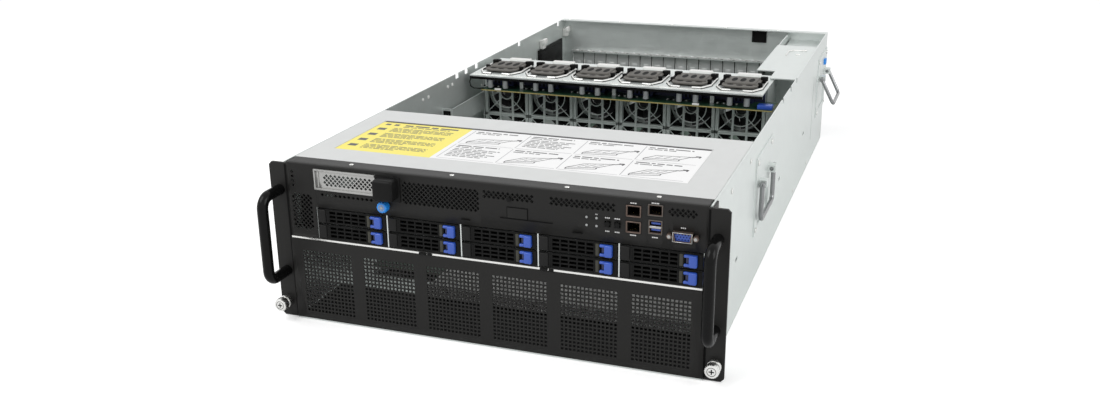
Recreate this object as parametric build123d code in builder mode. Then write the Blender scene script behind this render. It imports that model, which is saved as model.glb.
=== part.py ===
"""Four-unit rack server for accelerator cards, with its rear cover taken off.

X runs across the front, Y to the rear and Z up, in millimetres. The origin lies
on the underside of the base, in the middle of its length and width.
"""
import os
from math import cos, radians, sin

from build123d import *

os.makedirs("parts", exist_ok=True)

# Case: the rack standard fixes the height, and the width over the ears at 482.6
BODY_W, BODY_D, BODY_H = 448.0, 880.0, 175.0
SHEET = 1.5
FACETS = 8           # sides of small rounds that repeat
FIT = 0.3            # each side of a piece that slides
RUN = 0.05           # round a shaft that turns

# Front panel, intake grille and ears
PANEL_INSET, PANEL_T = 3.0, 2.0
LIP_D, LIP_R = 20.0, 1.4
SEAM_Z, SEAM_GAP = 91.5, 0.2
GRILLE_PROUD, GRILLE_D = 2.0, 10.0
GRILLE_WINDOWS, GRILLE_PITCH, GRILLE_WINDOW_W = 6, 71.8, 58.0
GRILLE_ROWS, GRILLE_ROW_PITCH, GRILLE_SLOT_H, GRILLE_MID_Z = 7, 10.5, 7.5, 45.5
EAR_W, EAR_T, EAR_Z0, EAR_Z1, EAR_LEG = 20.3, 3.0, 0.5, 173.5, 22.0

# Pull handles on the ears and the screws that hold the case in the rack
GRIP_R, GRIP_SIDES, GRIP_OUT, GRIP_BEND = 5.75, 12, 34.0, 12.0
GRIP_INSET, GRIP_Z0, GRIP_Z1 = 10.8, 53.0, 144.0
SCREW_INSET, SCREW_Z, SCREW_R, SCREW_HEAD_R, SCREW_COLLAR_R = 8.75, 18.5, 2.5, 7.0, 4.5
SCREW_HEAD_L, SCREW_EDGE, SCREW_SIDES, SCREW_COLLAR_L, SCREW_TAIL = 14.0, 1.0, 12, 3.5, 12.0

# Drive bays: five columns of two trays over a deck
BAY_COLS, BAY_ROWS, BAY_PITCH, BAY_LEFT = 5, 2, 81.4, -188.4
BAY_Z, CELL_H, SHELF_T, DIVIDER_T = 94.8, 16.0, 1.0, 1.2
CAGE_D, SHELF_SETBACK, DECK_TAIL = 112.0, 3.0, 6.0
TRAY_GAP_REAR, TRAY_RAIL_T, TRAY_FLOOR_T, TRAY_RAIL_H = 4.0, 1.5, 1.0, 10.0
BEZEL_D, BEZEL_SOLID, BEZEL_SLOT_W, BEZEL_SLOT_H, BEZEL_SLOTS = 12.0, 13.0, 43.0, 2.6, 3
BEZEL_SLOT_PITCH = 4.3
DRIVE_W, DRIVE_L, DRIVE_H = 69.85, 92.0, 9.5
LATCH_W, LATCH_H, LATCH_D, LATCH_X, LATCH_OUT, LATCH_TRAVEL = 12.0, 12.0, 10.5, 62.2, 3.5, 2.0
LATCH_EDGE = 1.5

# Expansion bracket at the front, its retainer and the retainer's knob
BRACKET_X0, BRACKET_X1, BRACKET_Z0, BRACKET_Z1, BRACKET_T = -188.0, -118.0, 148.5, 170.7, 1.0
BRACKET_RIM, BRACKET_ROWS, BRACKET_ROW_PITCH, BRACKET_SLOT_W, BRACKET_SLOT_H = 3.0, 3, 3.4, 51.0, 2.2
RETAINER_X0, RETAINER_X1, RETAINER_Z0, RETAINER_Z1, RETAINER_D = -114.7, -92.0, 146.5, 170.0, 15.0
RETAINER_EDGE = 2.5
KNOB_X, KNOB_Z, KNOB_R, KNOB_L, KNOB_SHAFT_R, KNOB_SIDES = -108.0, 139.4, 5.8, 9.0, 2.0, 12

# Vents of the front panel, each as left, right, bottom and top
VENTS = ((-217.0, -193.0, 103.0, 141.0), (-88.0, -5.5, 142.5, 168.0), (-2.5, 53.5, 157.0, 169.5),
         (66.0, 135.0, 157.5, 169.5), (183.5, 211.0, 160.5, 169.5))
VENT_PITCH, VENT_SLOT_H = 6.2, 3.6
TAG_X0, TAG_X1, TAG_Z0, TAG_Z1, TAG_T = 24.0, 46.0, 141.0, 153.0, 1.0

# Sockets of the front panel, in a plate of their own from SOCKET_PLATE_X to the right
SOCKET_PLATE_X = 141.0
JACKS = ((150.7, 162.3), (150.7, 146.5), (171.5, 165.4))
JACK_W, JACK_H, JACK_D, JACK_WALL = 14.0, 11.0, 18.0, 1.0
USB_X, USB_Z, USB_W, USB_H, USB_MID = 171.7, 148.9, 13.0, 13.6, 1.2
USB_TONGUE_W, USB_TONGUE_T = 8.6, 1.9
VGA_X, VGA_Z, VGA_W, VGA_H, VGA_LEAN, VGA_WALL, VGA_OUT = 198.3, 143.2, 18.6, 9.6, 80.0, 0.9, 5.0
VGA_SCREW_SPAN, VGA_SCREW_R, VGA_SCREW_L = 25.0, 2.8, 4.6
BUTTONS = (125.7, 135.3)
BUTTON_Z, BUTTON_R, BUTTON_OUT = 146.8, 2.6, 1.6
BUTTON_FLANGE_R, BUTTON_FLANGE_T, BUTTON_SIDES = 3.6, 0.8, 12
STUB_L = 5.0         # length of a guide tube behind the panel
STUB_WALL = 1.6

# Front cover
COVER_Y1, COVER_FLANGE = 219.0, 8.0
LABEL_X0, LABEL_X1, LABEL_Y0, LABEL_Y1, LABEL_DEEP = -198.0, 188.0, 58.0, 172.0, 0.5
GROOVE_W, GROOVE_DEEP, LEDGE_W = 4.0, 0.8, 6.0

# Fan wall: six columns of two fans
FAN_COLS, FAN_ROWS, FAN_PITCH, FAN_MID, FAN_Y = 6, 2, 67.0, -10.0, 495.0
FAN_W, FAN_H, FAN_D, FAN_BORE_R, FAN_SHELF_Z = 66.0, 62.5, 38.0, 28.5, 41.0
GUARD_T, GUARD_BAR, GUARD_PITCH = 2.0, 2.4, 19.0
FAN_HUB_R, FAN_HUB_T, STRUT_W, FAN_BORE_SIDES = 14.0, 4.0, 5.0, 12
ROTOR_HUB_R, ROTOR_HUB_L, ROTOR_TIP_GAP, ROTOR_SHAFT_R = 13.0, 24.0, 0.7, 2.0
BLADES, BLADE_T, BLADE_CHORD, BLADE_ROOT, BLADE_PITCH, BLADE_SWEEP = 5, 1.6, 24.0, 9.0, 42.0, 20.0
HUB_GAP = 1.0
CAP_W, CAP_D, CAP_T, CAP_LIFT, CAP_NOSE, CAP_Y = 54.0, 60.0, 3.0, 1.5, 34.0, 470.0
CAP_BOSS_W, CAP_BOSS_D, CAP_HOLE_W, CAP_HOLE_H, CAP_HOLE_PITCH = 44.0, 30.0, 9.0, 5.0, 16.0
BRIDGE_Y0, BRIDGE_Y1, BRIDGE_X0, BRIDGE_X1, BRIDGE_GAP = 450.0, 565.0, -213.0, 193.0, 2.0
BRIDGE_LIP, POST_W = 4.0, 5.0

# Circuit boards
BOARD_T, STANDOFF_H, STANDOFF_R, STANDOFF_SIDES = 1.6, 6.0, 3.0, 4
FAN_BOARD_Z, FAN_BOARD_X0, FAN_BOARD_X1 = 150.0, -196.0, 206.0
CAN_R, CAN_H, CAN_Y, CAN_STEPS = 5.0, 14.0, 459.0, (-8.0, 14.0)
PLUG_W, PLUG_D, PLUG_H, PLUG_Y = 36.0, 10.0, 11.0, 474.0
MAIN_X, MAIN_Y0, MAIN_Y1 = 205.0, 135.0, 440.0
SINK_SPAN, SINK_Y, SINK_W, SINK_D, SINK_H = 190.0, 300.0, 78.0, 108.0, 62.0
SINK_BASE, SINK_FINS, SINK_FIN_T = 6.0, 7, 2.2
DIMM_L, DIMM_H, DIMM_T, DIMM_PITCH, DIMM_BANK, DIMM_MID = 130.0, 31.0, 5.0, 9.5, 3, 70.0
CARD_Y0, CARD_REAR, CARD_X0, CARD_X1 = 590.0, 30.0, -212.0, 156.0
SOCKET_W, SOCKET_L, SOCKET_H, SOCKET_PITCH, SOCKETS, SOCKET_REAR = 8.0, 90.0, 11.0, 40.64, 8, 120.0
BACKPLANE_H, BACKPLANE_SLOT_W, BACKPLANE_SLOT_H = 30.0, 52.0, 4.0

# Rear panel with its slots, and the side channel of the power supplies
SLOTS, SLOT_PITCH, SLOT_X0, SLOT_Z0, SLOT_Z1, SLOT_W = 17, 20.32, -197.2, 18.0, 117.0, 14.0
SLOT_COVER_W, SLOT_COVER_T, SLOT_LEDGE, SLOT_LAP = 18.6, 1.0, 12.0, 3.5
REAR_LIP, PORT_X0, PORT_X1, PORT_Z0, PORT_Z1 = 14.0, 104.7, 126.0, 154.0, 171.0
CHANNEL_X, CHANNEL_L, CHANNEL_TOP, CHANNEL_TOP_L = 162.0, 295.0, 172.0, 183.0
HEM_X, HEM_L = 187.0, 45.0
PSU_W, PSU_H, PSU_L, PSU_OUT, PSU_GRIP, PSU_GRIP_R, PSU_COUNT = 54.0, 78.0, 255.0, 3.0, 22.0, 2.5, 2
PSU_GRIP_SPAN, PSU_TAB_W, PSU_TAB_H, PSU_TAB_L = 50.0, 9.0, 16.0, 12.0
PSU_INLET_W, PSU_INLET_H, PSU_INLET_D, PSU_INLET_RISE = 24.0, 20.0, 16.0, 24.0

# Openings of the side walls, by distance from the front
LEFT_NOTCHES = (429.0, 460.0, 496.0, 663.0, 845.0)
RIGHT_NOTCHES = (417.0, 482.0, 533.0)
NOTCH_W, NOTCH_H = 10.0, 7.0
SLIT_REAR, SLIT_W, SLIT_Z0, SLIT_Z1 = 147.0, 2.6, 36.0, 134.0
RAIL_SLOT_Y, RAIL_SLOT_Z, RAIL_SLOT_L, RAIL_SLOT_H = (136.0, 420.0, 640.0), 71.0, 12.0, 4.0
BEAM_W, BEAM_Y0, BEAM_Y1, BEAM_Z0, BEAM_Z1 = 15.0, 378.0, 488.0, 112.0, 138.0

# Lifting handles of the sides
LIFT_FRONT, LIFT_REAR = 285.0, 54.0    # from the front and from the rear
LIFT_L, LIFT_Z0, LIFT_Z1, LIFT_PLATE_T = 104.0, 60.0, 152.0, 1.5
LIFT_WINDOW_L, LIFT_WINDOW_Z0, LIFT_WINDOW_Z1 = 66.0, 68.0, 104.0
PIVOT_Z, PIVOT_OUT, PIN_R, BAR_W, BAIL_W, BAIL_DROP, BAIL_CORNER = 118.0, 6.0, 2.4, 5.4, 78.0, 42.0, 6.0
KNUCKLE_L, KNUCKLE_GAP, KNUCKLE_WALL = 12.0, 0.4, 1.8
REAR_BAIL_SWING = 27.0

HALF, INNER = BODY_W / 2, BODY_W / 2 - SHEET
PANEL_W = BODY_W - 2 * PANEL_INSET
RACK_W = PANEL_W + 2 * EAR_W
SCREW_X = RACK_W / 2 - SCREW_INSET
GRIP_X = RACK_W / 2 - GRIP_INSET
FRONT, REAR = -BODY_D / 2, BODY_D / 2
BAY_RIGHT = BAY_LEFT + BAY_COLS * BAY_PITCH
CELL_STEP = CELL_H + SHELF_T
BAY_TOP = BAY_Z + BAY_ROWS * CELL_STEP
COVER_UNDER = BODY_H - SHEET
FAN_X = [FAN_MID + (i - (FAN_COLS - 1) / 2) * FAN_PITCH for i in range(FAN_COLS)]
FAN_Z = [FAN_SHELF_Z + (j + 0.5) * FAN_H for j in range(FAN_ROWS)]
FAN_TOP = FAN_SHELF_Z + FAN_ROWS * FAN_H
BRIDGE_Z = FAN_TOP + BRIDGE_GAP
LEDGE_Z = SLOT_Z1 + SLOT_LAP
PSU_X = (CHANNEL_X + SHEET + INNER) / 2
PSU_STEP = PSU_H + 2 * FIT + SHEET
PSU_Z = [SHEET + FIT + PSU_H / 2 + k * PSU_STEP for k in range(PSU_COUNT)]
PIVOT_X = HALF + PIVOT_OUT
LIFT_Y = (LIFT_FRONT, BODY_D - LIFT_REAR)
CHANNEL_Y = BODY_D - CHANNEL_L
CHANNEL_END = CHANNEL_Y + CHANNEL_TOP_L


def depth(y):
    """Model Y of a distance measured back from the front panel's face."""
    return FRONT + y


def facing(y):
    """Plane across the case at a model Y, facing the front, with local axes X and Z."""
    return Plane.XZ.offset(-y)


def rect(x0, x1, y0, y1, mode=Mode.ADD):
    """Rectangle between two corners of the sketch being drawn."""
    with Locations(((x0 + x1) / 2, (y0 + y1) / 2)):
        Rectangle(abs(x1 - x0), abs(y1 - y0), mode=mode)


def around(radius, sides):
    """Circumradius of the regular polygon that just holds a circle of this radius."""
    return radius / cos(radians(180 / sides))


def save(piece, name):
    """Label a finished piece and write it."""
    piece.label = name
    export_step(piece, f"parts/{name}.step")


# Base, side walls, side channel and beam, folded and welded from one thickness of sheet
with BuildPart() as base_tub:
    with BuildSketch(facing(REAR)):
        rect(-HALF, HALF, 0, BODY_H)
        rect(-INNER, INNER, SHEET, BODY_H, mode=Mode.SUBTRACT)
    extrude(amount=BODY_D - EAR_T)
    with BuildSketch(Plane.XY):
        rect(-PANEL_W / 2, PANEL_W / 2, FRONT - GRILLE_PROUD, FRONT + EAR_T)
    extrude(amount=SHEET)
    with BuildSketch(Plane.XY.offset(COVER_UNDER - SHEET)):
        for side in (-1, 1):
            rect(side * (INNER - LEDGE_W), side * INNER, depth(LIP_D), depth(COVER_Y1))
    extrude(amount=SHEET)
    with BuildSketch(facing(depth(BEAM_Y1))):
        rect(-INNER, BEAM_W - INNER, BEAM_Z0, BEAM_Z0 + SHEET)
        rect(BEAM_W - SHEET - INNER, BEAM_W - INNER, BEAM_Z0, BEAM_Z1)
    extrude(amount=BEAM_Y1 - BEAM_Y0)
    with BuildSketch(facing(depth(BEAM_Y0))):
        rect(-INNER, BEAM_W - INNER, BEAM_Z0, BEAM_Z1)
    extrude(amount=-SHEET)
    with BuildSketch(facing(REAR - SHEET)):
        rect(CHANNEL_X, CHANNEL_X + SHEET, SHEET, CHANNEL_TOP - SHEET)
        for z in PSU_Z[:-1]:
            rect(CHANNEL_X, INNER, z + PSU_H / 2 + FIT, z + PSU_H / 2 + FIT + SHEET)
    extrude(amount=BODY_D - SHEET - CHANNEL_Y)
    with BuildSketch(Plane.XY.offset(CHANNEL_TOP - SHEET)):
        rect(CHANNEL_X, INNER, depth(CHANNEL_Y), depth(CHANNEL_END))
        rect(HEM_X, INNER, depth(CHANNEL_Y - HEM_L), depth(CHANNEL_Y))
    extrude(amount=SHEET)
    for wall, notches in ((-HALF, LEFT_NOTCHES), (INNER, RIGHT_NOTCHES)):
        with BuildSketch(Plane.YZ.offset(wall)):
            with Locations([(depth(y), BODY_H - NOTCH_H / 2) for y in notches]):
                Rectangle(NOTCH_W, NOTCH_H)
            with Locations([(depth(y), RAIL_SLOT_Z) for y in RAIL_SLOT_Y]):
                Rectangle(RAIL_SLOT_L, RAIL_SLOT_H)
            rect(REAR - SLIT_REAR - SLIT_W / 2, REAR - SLIT_REAR + SLIT_W / 2, SLIT_Z0, SLIT_Z1)
        extrude(amount=SHEET, mode=Mode.SUBTRACT)
save(base_tub.part, "base_tub")

# Rear panel: slot windows, power-supply windows and a cable port
with BuildPart() as rear_panel:
    with BuildSketch(facing(REAR)):
        rect(-INNER, INNER, SHEET, BODY_H)
        with Locations((SLOT_X0 + (SLOTS - 1) * SLOT_PITCH / 2, (SLOT_Z0 + SLOT_Z1) / 2)):
            with GridLocations(SLOT_PITCH, 0, SLOTS, 1):
                Rectangle(SLOT_W, SLOT_Z1 - SLOT_Z0, mode=Mode.SUBTRACT)
        for z in PSU_Z:
            with Locations((PSU_X, z)):
                Rectangle(PSU_W + 2 * FIT, PSU_H + 2 * FIT, mode=Mode.SUBTRACT)
        rect(PORT_X0, PORT_X1, PORT_Z0, PORT_Z1, mode=Mode.SUBTRACT)
    extrude(amount=SHEET)
    with BuildSketch(Plane.XY.offset(BODY_H - SHEET)):
        rect(-INNER, INNER, REAR - REAR_LIP, REAR)
    extrude(amount=SHEET)
    with BuildSketch(Plane.XY.offset(LEDGE_Z)):
        rect(SLOT_X0 - SLOT_PITCH / 2, SLOT_X0 + (SLOTS - 0.5) * SLOT_PITCH,
             REAR - SHEET - SLOT_LEDGE, REAR - SHEET)
    extrude(amount=SHEET)
save(rear_panel.part, "rear_panel")

# Blank covers of the rear slots, and the vented bracket of the front slot
with BuildPart() as slot_covers:
    with BuildSketch(facing(REAR - SHEET)):
        with Locations((SLOT_X0 + (SLOTS - 1) * SLOT_PITCH / 2, (SLOT_Z0 - SLOT_LAP + LEDGE_Z) / 2)):
            with GridLocations(SLOT_PITCH, 0, SLOTS, 1):
                Rectangle(SLOT_COVER_W, LEDGE_Z - SLOT_Z0 + SLOT_LAP)
    extrude(amount=SLOT_COVER_T)
    with BuildSketch(facing(FRONT)):
        rect(BRACKET_X0, BRACKET_X1, BRACKET_Z0, BRACKET_Z1)
        with Locations(((BRACKET_X0 + BRACKET_X1) / 2, (BRACKET_Z0 + BRACKET_Z1) / 2)):
            with GridLocations(0, BRACKET_ROW_PITCH, 1, BRACKET_ROWS):
                Rectangle(BRACKET_SLOT_W, BRACKET_SLOT_H, mode=Mode.SUBTRACT)
    extrude(amount=BRACKET_T)
save(slot_covers.part, "slot_covers")

# Upper front panel with its rounded lip, vents and openings, and the socket plate that meets its right edge
with BuildPart() as front_panel:
    with BuildSketch(Plane.YZ.offset(-PANEL_W / 2)) as lip_section:
        rect(FRONT, FRONT + PANEL_T, SEAM_Z + SEAM_GAP, BODY_H)
        rect(FRONT, depth(LIP_D), COVER_UNDER, BODY_H)
        fillet(lip_section.vertices().group_by(Axis.Y)[-1].sort_by(Axis.X)[0], LIP_R)
    extrude(amount=PANEL_W)
    with BuildSketch(facing(FRONT)) as tag:
        rect(TAG_X0, TAG_X1, TAG_Z0, TAG_Z1)
        chamfer(tag.vertices(), TAG_T)
    extrude(amount=TAG_T)
    with BuildSketch(facing(FRONT + PANEL_T)):
        for x in BUTTONS:
            with Locations((x, BUTTON_Z)):
                RegularPolygon(around(BUTTON_R + RUN + STUB_WALL, FACETS), FACETS)
        with Locations((KNOB_X, KNOB_Z)):
            RegularPolygon(around(KNOB_SHAFT_R + RUN + STUB_WALL, FACETS), FACETS)
    extrude(amount=-STUB_L)
    with BuildSketch(facing(FRONT)):
        for x in BUTTONS:
            with Locations((x, BUTTON_Z)):
                RegularPolygon(around(BUTTON_R + RUN, BUTTON_SIDES), BUTTON_SIDES)
        with Locations((KNOB_X, KNOB_Z)):
            RegularPolygon(around(KNOB_SHAFT_R + RUN, FACETS), FACETS)
    extrude(amount=-PANEL_T - STUB_L, mode=Mode.SUBTRACT)
    with BuildSketch(facing(FRONT)):
        rect(BAY_LEFT - DIVIDER_T / 2, BAY_RIGHT + DIVIDER_T / 2, BAY_Z, BAY_TOP)
        rect(BRACKET_X0 + BRACKET_RIM, BRACKET_X1 - BRACKET_RIM,
             BRACKET_Z0 + BRACKET_RIM, BRACKET_Z1 - BRACKET_RIM)
        for x, z in JACKS:
            with Locations((x, z)):
                Rectangle(JACK_W, JACK_H)
        with Locations((USB_X, USB_Z)):
            Rectangle(USB_W, USB_H)
        with Locations((VGA_X, VGA_Z)):
            Trapezoid(VGA_W, VGA_H, VGA_LEAN, rotation=180)
        for x0, x1, z0, z1 in VENTS:
            rows = int((z1 - z0 - VENT_SLOT_H) / VENT_PITCH + 1e-6) + 1
            with Locations(((x0 + x1) / 2, (z0 + z1) / 2)), GridLocations(0, VENT_PITCH, 1, rows):
                Rectangle(x1 - x0, VENT_SLOT_H)
    extrude(amount=-PANEL_T, mode=Mode.SUBTRACT)
    split(bisect_by=Plane.YZ.offset(SOCKET_PLATE_X), keep=Keep.BOTH)
save(front_panel.part, "front_panel")

# Lower front panel: a folded pan with six slotted windows
with BuildPart() as intake_grille:
    with BuildSketch(facing(FRONT - GRILLE_PROUD)):
        rect(-PANEL_W / 2, PANEL_W / 2, SHEET, SEAM_Z)
    extrude(amount=-GRILLE_D)
    with BuildSketch(facing(FRONT - GRILLE_PROUD + SHEET)):
        rect(SHEET - PANEL_W / 2, PANEL_W / 2 - SHEET, 2 * SHEET, SEAM_Z - SHEET)
    extrude(amount=-GRILLE_D, mode=Mode.SUBTRACT)
    with BuildSketch(facing(FRONT - GRILLE_PROUD)):
        with Locations((0, GRILLE_MID_Z)):
            with GridLocations(GRILLE_PITCH, GRILLE_ROW_PITCH, GRILLE_WINDOWS, GRILLE_ROWS):
                Rectangle(GRILLE_WINDOW_W, GRILLE_SLOT_H)
    extrude(amount=-SHEET, mode=Mode.SUBTRACT)
save(intake_grille.part, "intake_grille")

# Rack ears, each with a short leg along its side wall that leaves a free face for the rack's post
with BuildPart() as rack_ears:
    with BuildSketch(facing(FRONT)) as ear:
        rect(PANEL_W / 2, RACK_W / 2, EAR_Z0, EAR_Z1)
        chamfer(ear.vertices().group_by(Axis.X)[-1], EAR_T)
        with Locations((SCREW_X, SCREW_Z)):
            Circle(SCREW_R + RUN, mode=Mode.SUBTRACT)
    extrude(amount=-EAR_T)
    with BuildSketch(Plane.YZ.offset(HALF)):
        rect(FRONT + EAR_T, depth(EAR_LEG), EAR_Z0, EAR_Z1)
    extrude(amount=SHEET)
    mirror(about=Plane.YZ)
save(rack_ears.part, "rack_ears")

# Pull handles: a faceted bar with each corner bent in three steps
with BuildPart() as front_handles:
    near, far = FRONT - GRIP_OUT + GRIP_BEND, FRONT - GRIP_OUT
    bend = GRIP_BEND * (1 - sin(radians(45)))
    with BuildLine() as grip_path:
        Polyline((GRIP_X, FRONT, GRIP_Z1), (GRIP_X, near, GRIP_Z1), (GRIP_X, far + bend, GRIP_Z1 - bend),
                 (GRIP_X, far, GRIP_Z1 - GRIP_BEND), (GRIP_X, far, GRIP_Z0 + GRIP_BEND),
                 (GRIP_X, far + bend, GRIP_Z0 + bend), (GRIP_X, near, GRIP_Z0), (GRIP_X, FRONT, GRIP_Z0))
    with BuildSketch(Plane(origin=(GRIP_X, FRONT, GRIP_Z1), z_dir=(0, -1, 0))):
        RegularPolygon(GRIP_R, GRIP_SIDES)
    sweep(path=grip_path.wire(), transition=Transition.RIGHT)
    mirror(about=Plane.YZ)
save(front_handles.part, "front_handles")

# Captive screws of the ears
for name, side in (("rack_screw_left", -1), ("rack_screw_right", 1)):
    with BuildPart() as rack_screw:
        with BuildSketch(facing(FRONT)):
            with Locations((side * SCREW_X, SCREW_Z)):
                RegularPolygon(SCREW_COLLAR_R, FACETS)
        extrude(amount=SCREW_COLLAR_L)
        with BuildSketch(facing(FRONT - SCREW_COLLAR_L)):
            with Locations((side * SCREW_X, SCREW_Z)):
                RegularPolygon(SCREW_HEAD_R, SCREW_SIDES)
        extrude(amount=SCREW_HEAD_L)
        chamfer(rack_screw.faces().sort_by(Axis.Y)[0].edges(), SCREW_EDGE)
        with BuildSketch(facing(FRONT)):
            with Locations((side * SCREW_X, SCREW_Z)):
                Circle(SCREW_R)
        extrude(amount=-EAR_T - SCREW_TAIL)
    save(rack_screw.part, name)

# Drive cage on its deck
with BuildPart() as drive_cage:
    with BuildSketch(facing(FRONT)):
        with Locations(((BAY_LEFT + BAY_RIGHT) / 2, (BAY_Z + BAY_TOP) / 2)):
            with GridLocations(BAY_PITCH, 0, BAY_COLS + 1, 1):
                Rectangle(DIVIDER_T, BAY_TOP - BAY_Z)
    extrude(amount=-CAGE_D)
    with BuildSketch(facing(depth(SHELF_SETBACK))):
        for row in range(1, BAY_ROWS + 1):
            rect(BAY_LEFT, BAY_RIGHT, BAY_Z + row * CELL_STEP - SHELF_T, BAY_Z + row * CELL_STEP)
    extrude(amount=SHELF_SETBACK - CAGE_D)
    with BuildSketch(facing(FRONT + EAR_T)):
        rect(-INNER, INNER, BAY_Z - SHEET, BAY_Z)
    extrude(amount=EAR_T - CAGE_D - DECK_TAIL)
save(drive_cage.part, "drive_cage")

# Drive trays, each a vented bezel on a sled that holds a drive, and their release latches
TRAY_W = BAY_PITCH - DIVIDER_T - 2 * FIT
TRAY_H = CELL_H - 2 * FIT
LATCH_RISE = (TRAY_H - LATCH_H) / 2
for row in range(BAY_ROWS):
    for column in range(BAY_COLS):
        number = (BAY_ROWS - 1 - row) * BAY_COLS + column + 1
        left = BAY_LEFT + column * BAY_PITCH + DIVIDER_T / 2 + FIT
        bottom = BAY_Z + row * CELL_STEP + FIT
        latch_x0 = left + LATCH_X
        latch_z0 = bottom + LATCH_RISE
        with BuildPart() as sled:
            with BuildSketch(facing(FRONT)):
                rect(left, left + TRAY_W, bottom, bottom + TRAY_H)
                with Locations((left + BEZEL_SOLID + BEZEL_SLOT_W / 2, bottom + TRAY_H / 2)):
                    with GridLocations(0, BEZEL_SLOT_PITCH, 1, BEZEL_SLOTS):
                        Rectangle(BEZEL_SLOT_W, BEZEL_SLOT_H, mode=Mode.SUBTRACT)
            extrude(amount=-BEZEL_D)
            with BuildSketch(facing(FRONT)):
                rect(latch_x0 - FIT, latch_x0 + LATCH_W + FIT, latch_z0 - FIT, latch_z0 + LATCH_H + FIT)
            extrude(amount=LATCH_OUT - LATCH_D - LATCH_TRAVEL - FIT, mode=Mode.SUBTRACT)
            with BuildSketch(facing(depth(BEZEL_D))):
                rect(left, left + TRAY_W, bottom, bottom + TRAY_RAIL_H)
                rect(left + TRAY_RAIL_T, left + TRAY_W - TRAY_RAIL_T, bottom + TRAY_FLOOR_T,
                     bottom + TRAY_RAIL_H, mode=Mode.SUBTRACT)
            extrude(amount=BEZEL_D + TRAY_GAP_REAR - CAGE_D)
        with BuildPart() as drive:
            with BuildSketch(facing(depth(BEZEL_D))):
                with Locations((left + TRAY_W / 2, bottom + TRAY_FLOOR_T + DRIVE_H / 2)):
                    Rectangle(DRIVE_W, DRIVE_H)
            extrude(amount=-DRIVE_L)
        save(Compound(children=[sled.part, drive.part]), f"drive_tray_{number}")

        with BuildPart() as latch:
            with BuildSketch(facing(FRONT - LATCH_OUT)):
                rect(latch_x0, latch_x0 + LATCH_W, latch_z0, latch_z0 + LATCH_H)
            extrude(amount=-LATCH_D)
            chamfer(latch.faces().sort_by(Axis.Y)[0].edges().filter_by(Axis.X), LATCH_EDGE)
        save(latch.part, f"tray_latch_{number}")

# Retainer of the front bracket, with a chamfered face, and its knob
with BuildPart() as bracket_retainer:
    with BuildSketch(facing(FRONT)):
        rect(RETAINER_X0, RETAINER_X1, RETAINER_Z0, RETAINER_Z1)
    extrude(amount=RETAINER_D)
    chamfer(bracket_retainer.faces().sort_by(Axis.Y)[0].edges(), RETAINER_EDGE)
save(bracket_retainer.part, "bracket_retainer")

with BuildPart() as retainer_knob:
    with BuildSketch(facing(FRONT)):
        with Locations((KNOB_X, KNOB_Z)):
            RegularPolygon(KNOB_R, KNOB_SIDES)
    extrude(amount=KNOB_L)
    with BuildSketch(facing(FRONT)):
        with Locations((KNOB_X, KNOB_Z)):
            RegularPolygon(KNOB_SHAFT_R, FACETS)
    extrude(amount=-PANEL_T - STUB_L)
save(retainer_knob.part, "retainer_knob")

# Buttons, each with a flange that stops it behind its guide tube
for name, x in (("power_button", BUTTONS[0]), ("id_button", BUTTONS[1])):
    with BuildPart() as button:
        with BuildSketch(facing(FRONT - BUTTON_OUT)):
            with Locations((x, BUTTON_Z)):
                RegularPolygon(BUTTON_R, BUTTON_SIDES)
        extrude(amount=-BUTTON_OUT - PANEL_T - STUB_L)
        with BuildSketch(facing(FRONT + PANEL_T + STUB_L)):
            with Locations((x, BUTTON_Z)):
                RegularPolygon(BUTTON_FLANGE_R, FACETS)
        extrude(amount=-BUTTON_FLANGE_T)
    save(button.part, name)

# Metal shells of the sockets, and the blue inserts inside them
with BuildPart() as port_shells:
    with BuildSketch(facing(FRONT)):
        for x, z in JACKS:
            with Locations((x, z)):
                Rectangle(JACK_W, JACK_H)
        with Locations((USB_X, USB_Z)):
            Rectangle(USB_W, USB_H)
    extrude(amount=-JACK_D)
    with BuildSketch(facing(FRONT)):
        for x, z in JACKS:
            with Locations((x, z)):
                Rectangle(JACK_W - 2 * JACK_WALL, JACK_H - 2 * JACK_WALL)
        with Locations((USB_X, USB_Z)), GridLocations(0, (USB_H - USB_MID) / 2, 1, 2):
            Rectangle(USB_W - 2 * JACK_WALL, (USB_H - USB_MID) / 2 - JACK_WALL)
    extrude(amount=JACK_WALL - JACK_D, mode=Mode.SUBTRACT)
    with BuildSketch(facing(FRONT - VGA_OUT)):
        with Locations((VGA_X, VGA_Z)):
            Trapezoid(VGA_W, VGA_H, VGA_LEAN, rotation=180)
        offset(amount=-VGA_WALL, kind=Kind.INTERSECTION, mode=Mode.SUBTRACT)
    extrude(amount=-VGA_OUT - PANEL_T)
    with BuildSketch(facing(FRONT)):
        with Locations((VGA_X, VGA_Z)), GridLocations(VGA_SCREW_SPAN, 0, 2, 1):
            RegularPolygon(VGA_SCREW_R, 6)
    extrude(amount=VGA_SCREW_L)
save(port_shells.part, "port_shells")

with BuildPart() as port_inserts:
    with BuildSketch(facing(FRONT - VGA_OUT / 2)):
        with Locations((VGA_X, VGA_Z)):
            Trapezoid(VGA_W, VGA_H, VGA_LEAN, rotation=180)
        offset(amount=-VGA_WALL, kind=Kind.INTERSECTION, mode=Mode.REPLACE)
    extrude(amount=-VGA_OUT / 2 - PANEL_T)
    with BuildSketch(facing(FRONT + PANEL_T)):
        with Locations((USB_X, USB_Z)), GridLocations(0, (USB_H - USB_MID) / 2, 1, 2):
            Rectangle(USB_TONGUE_W, USB_TONGUE_T)
    extrude(amount=PANEL_T + JACK_WALL - JACK_D)
save(port_inserts.part, "port_inserts")

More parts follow.
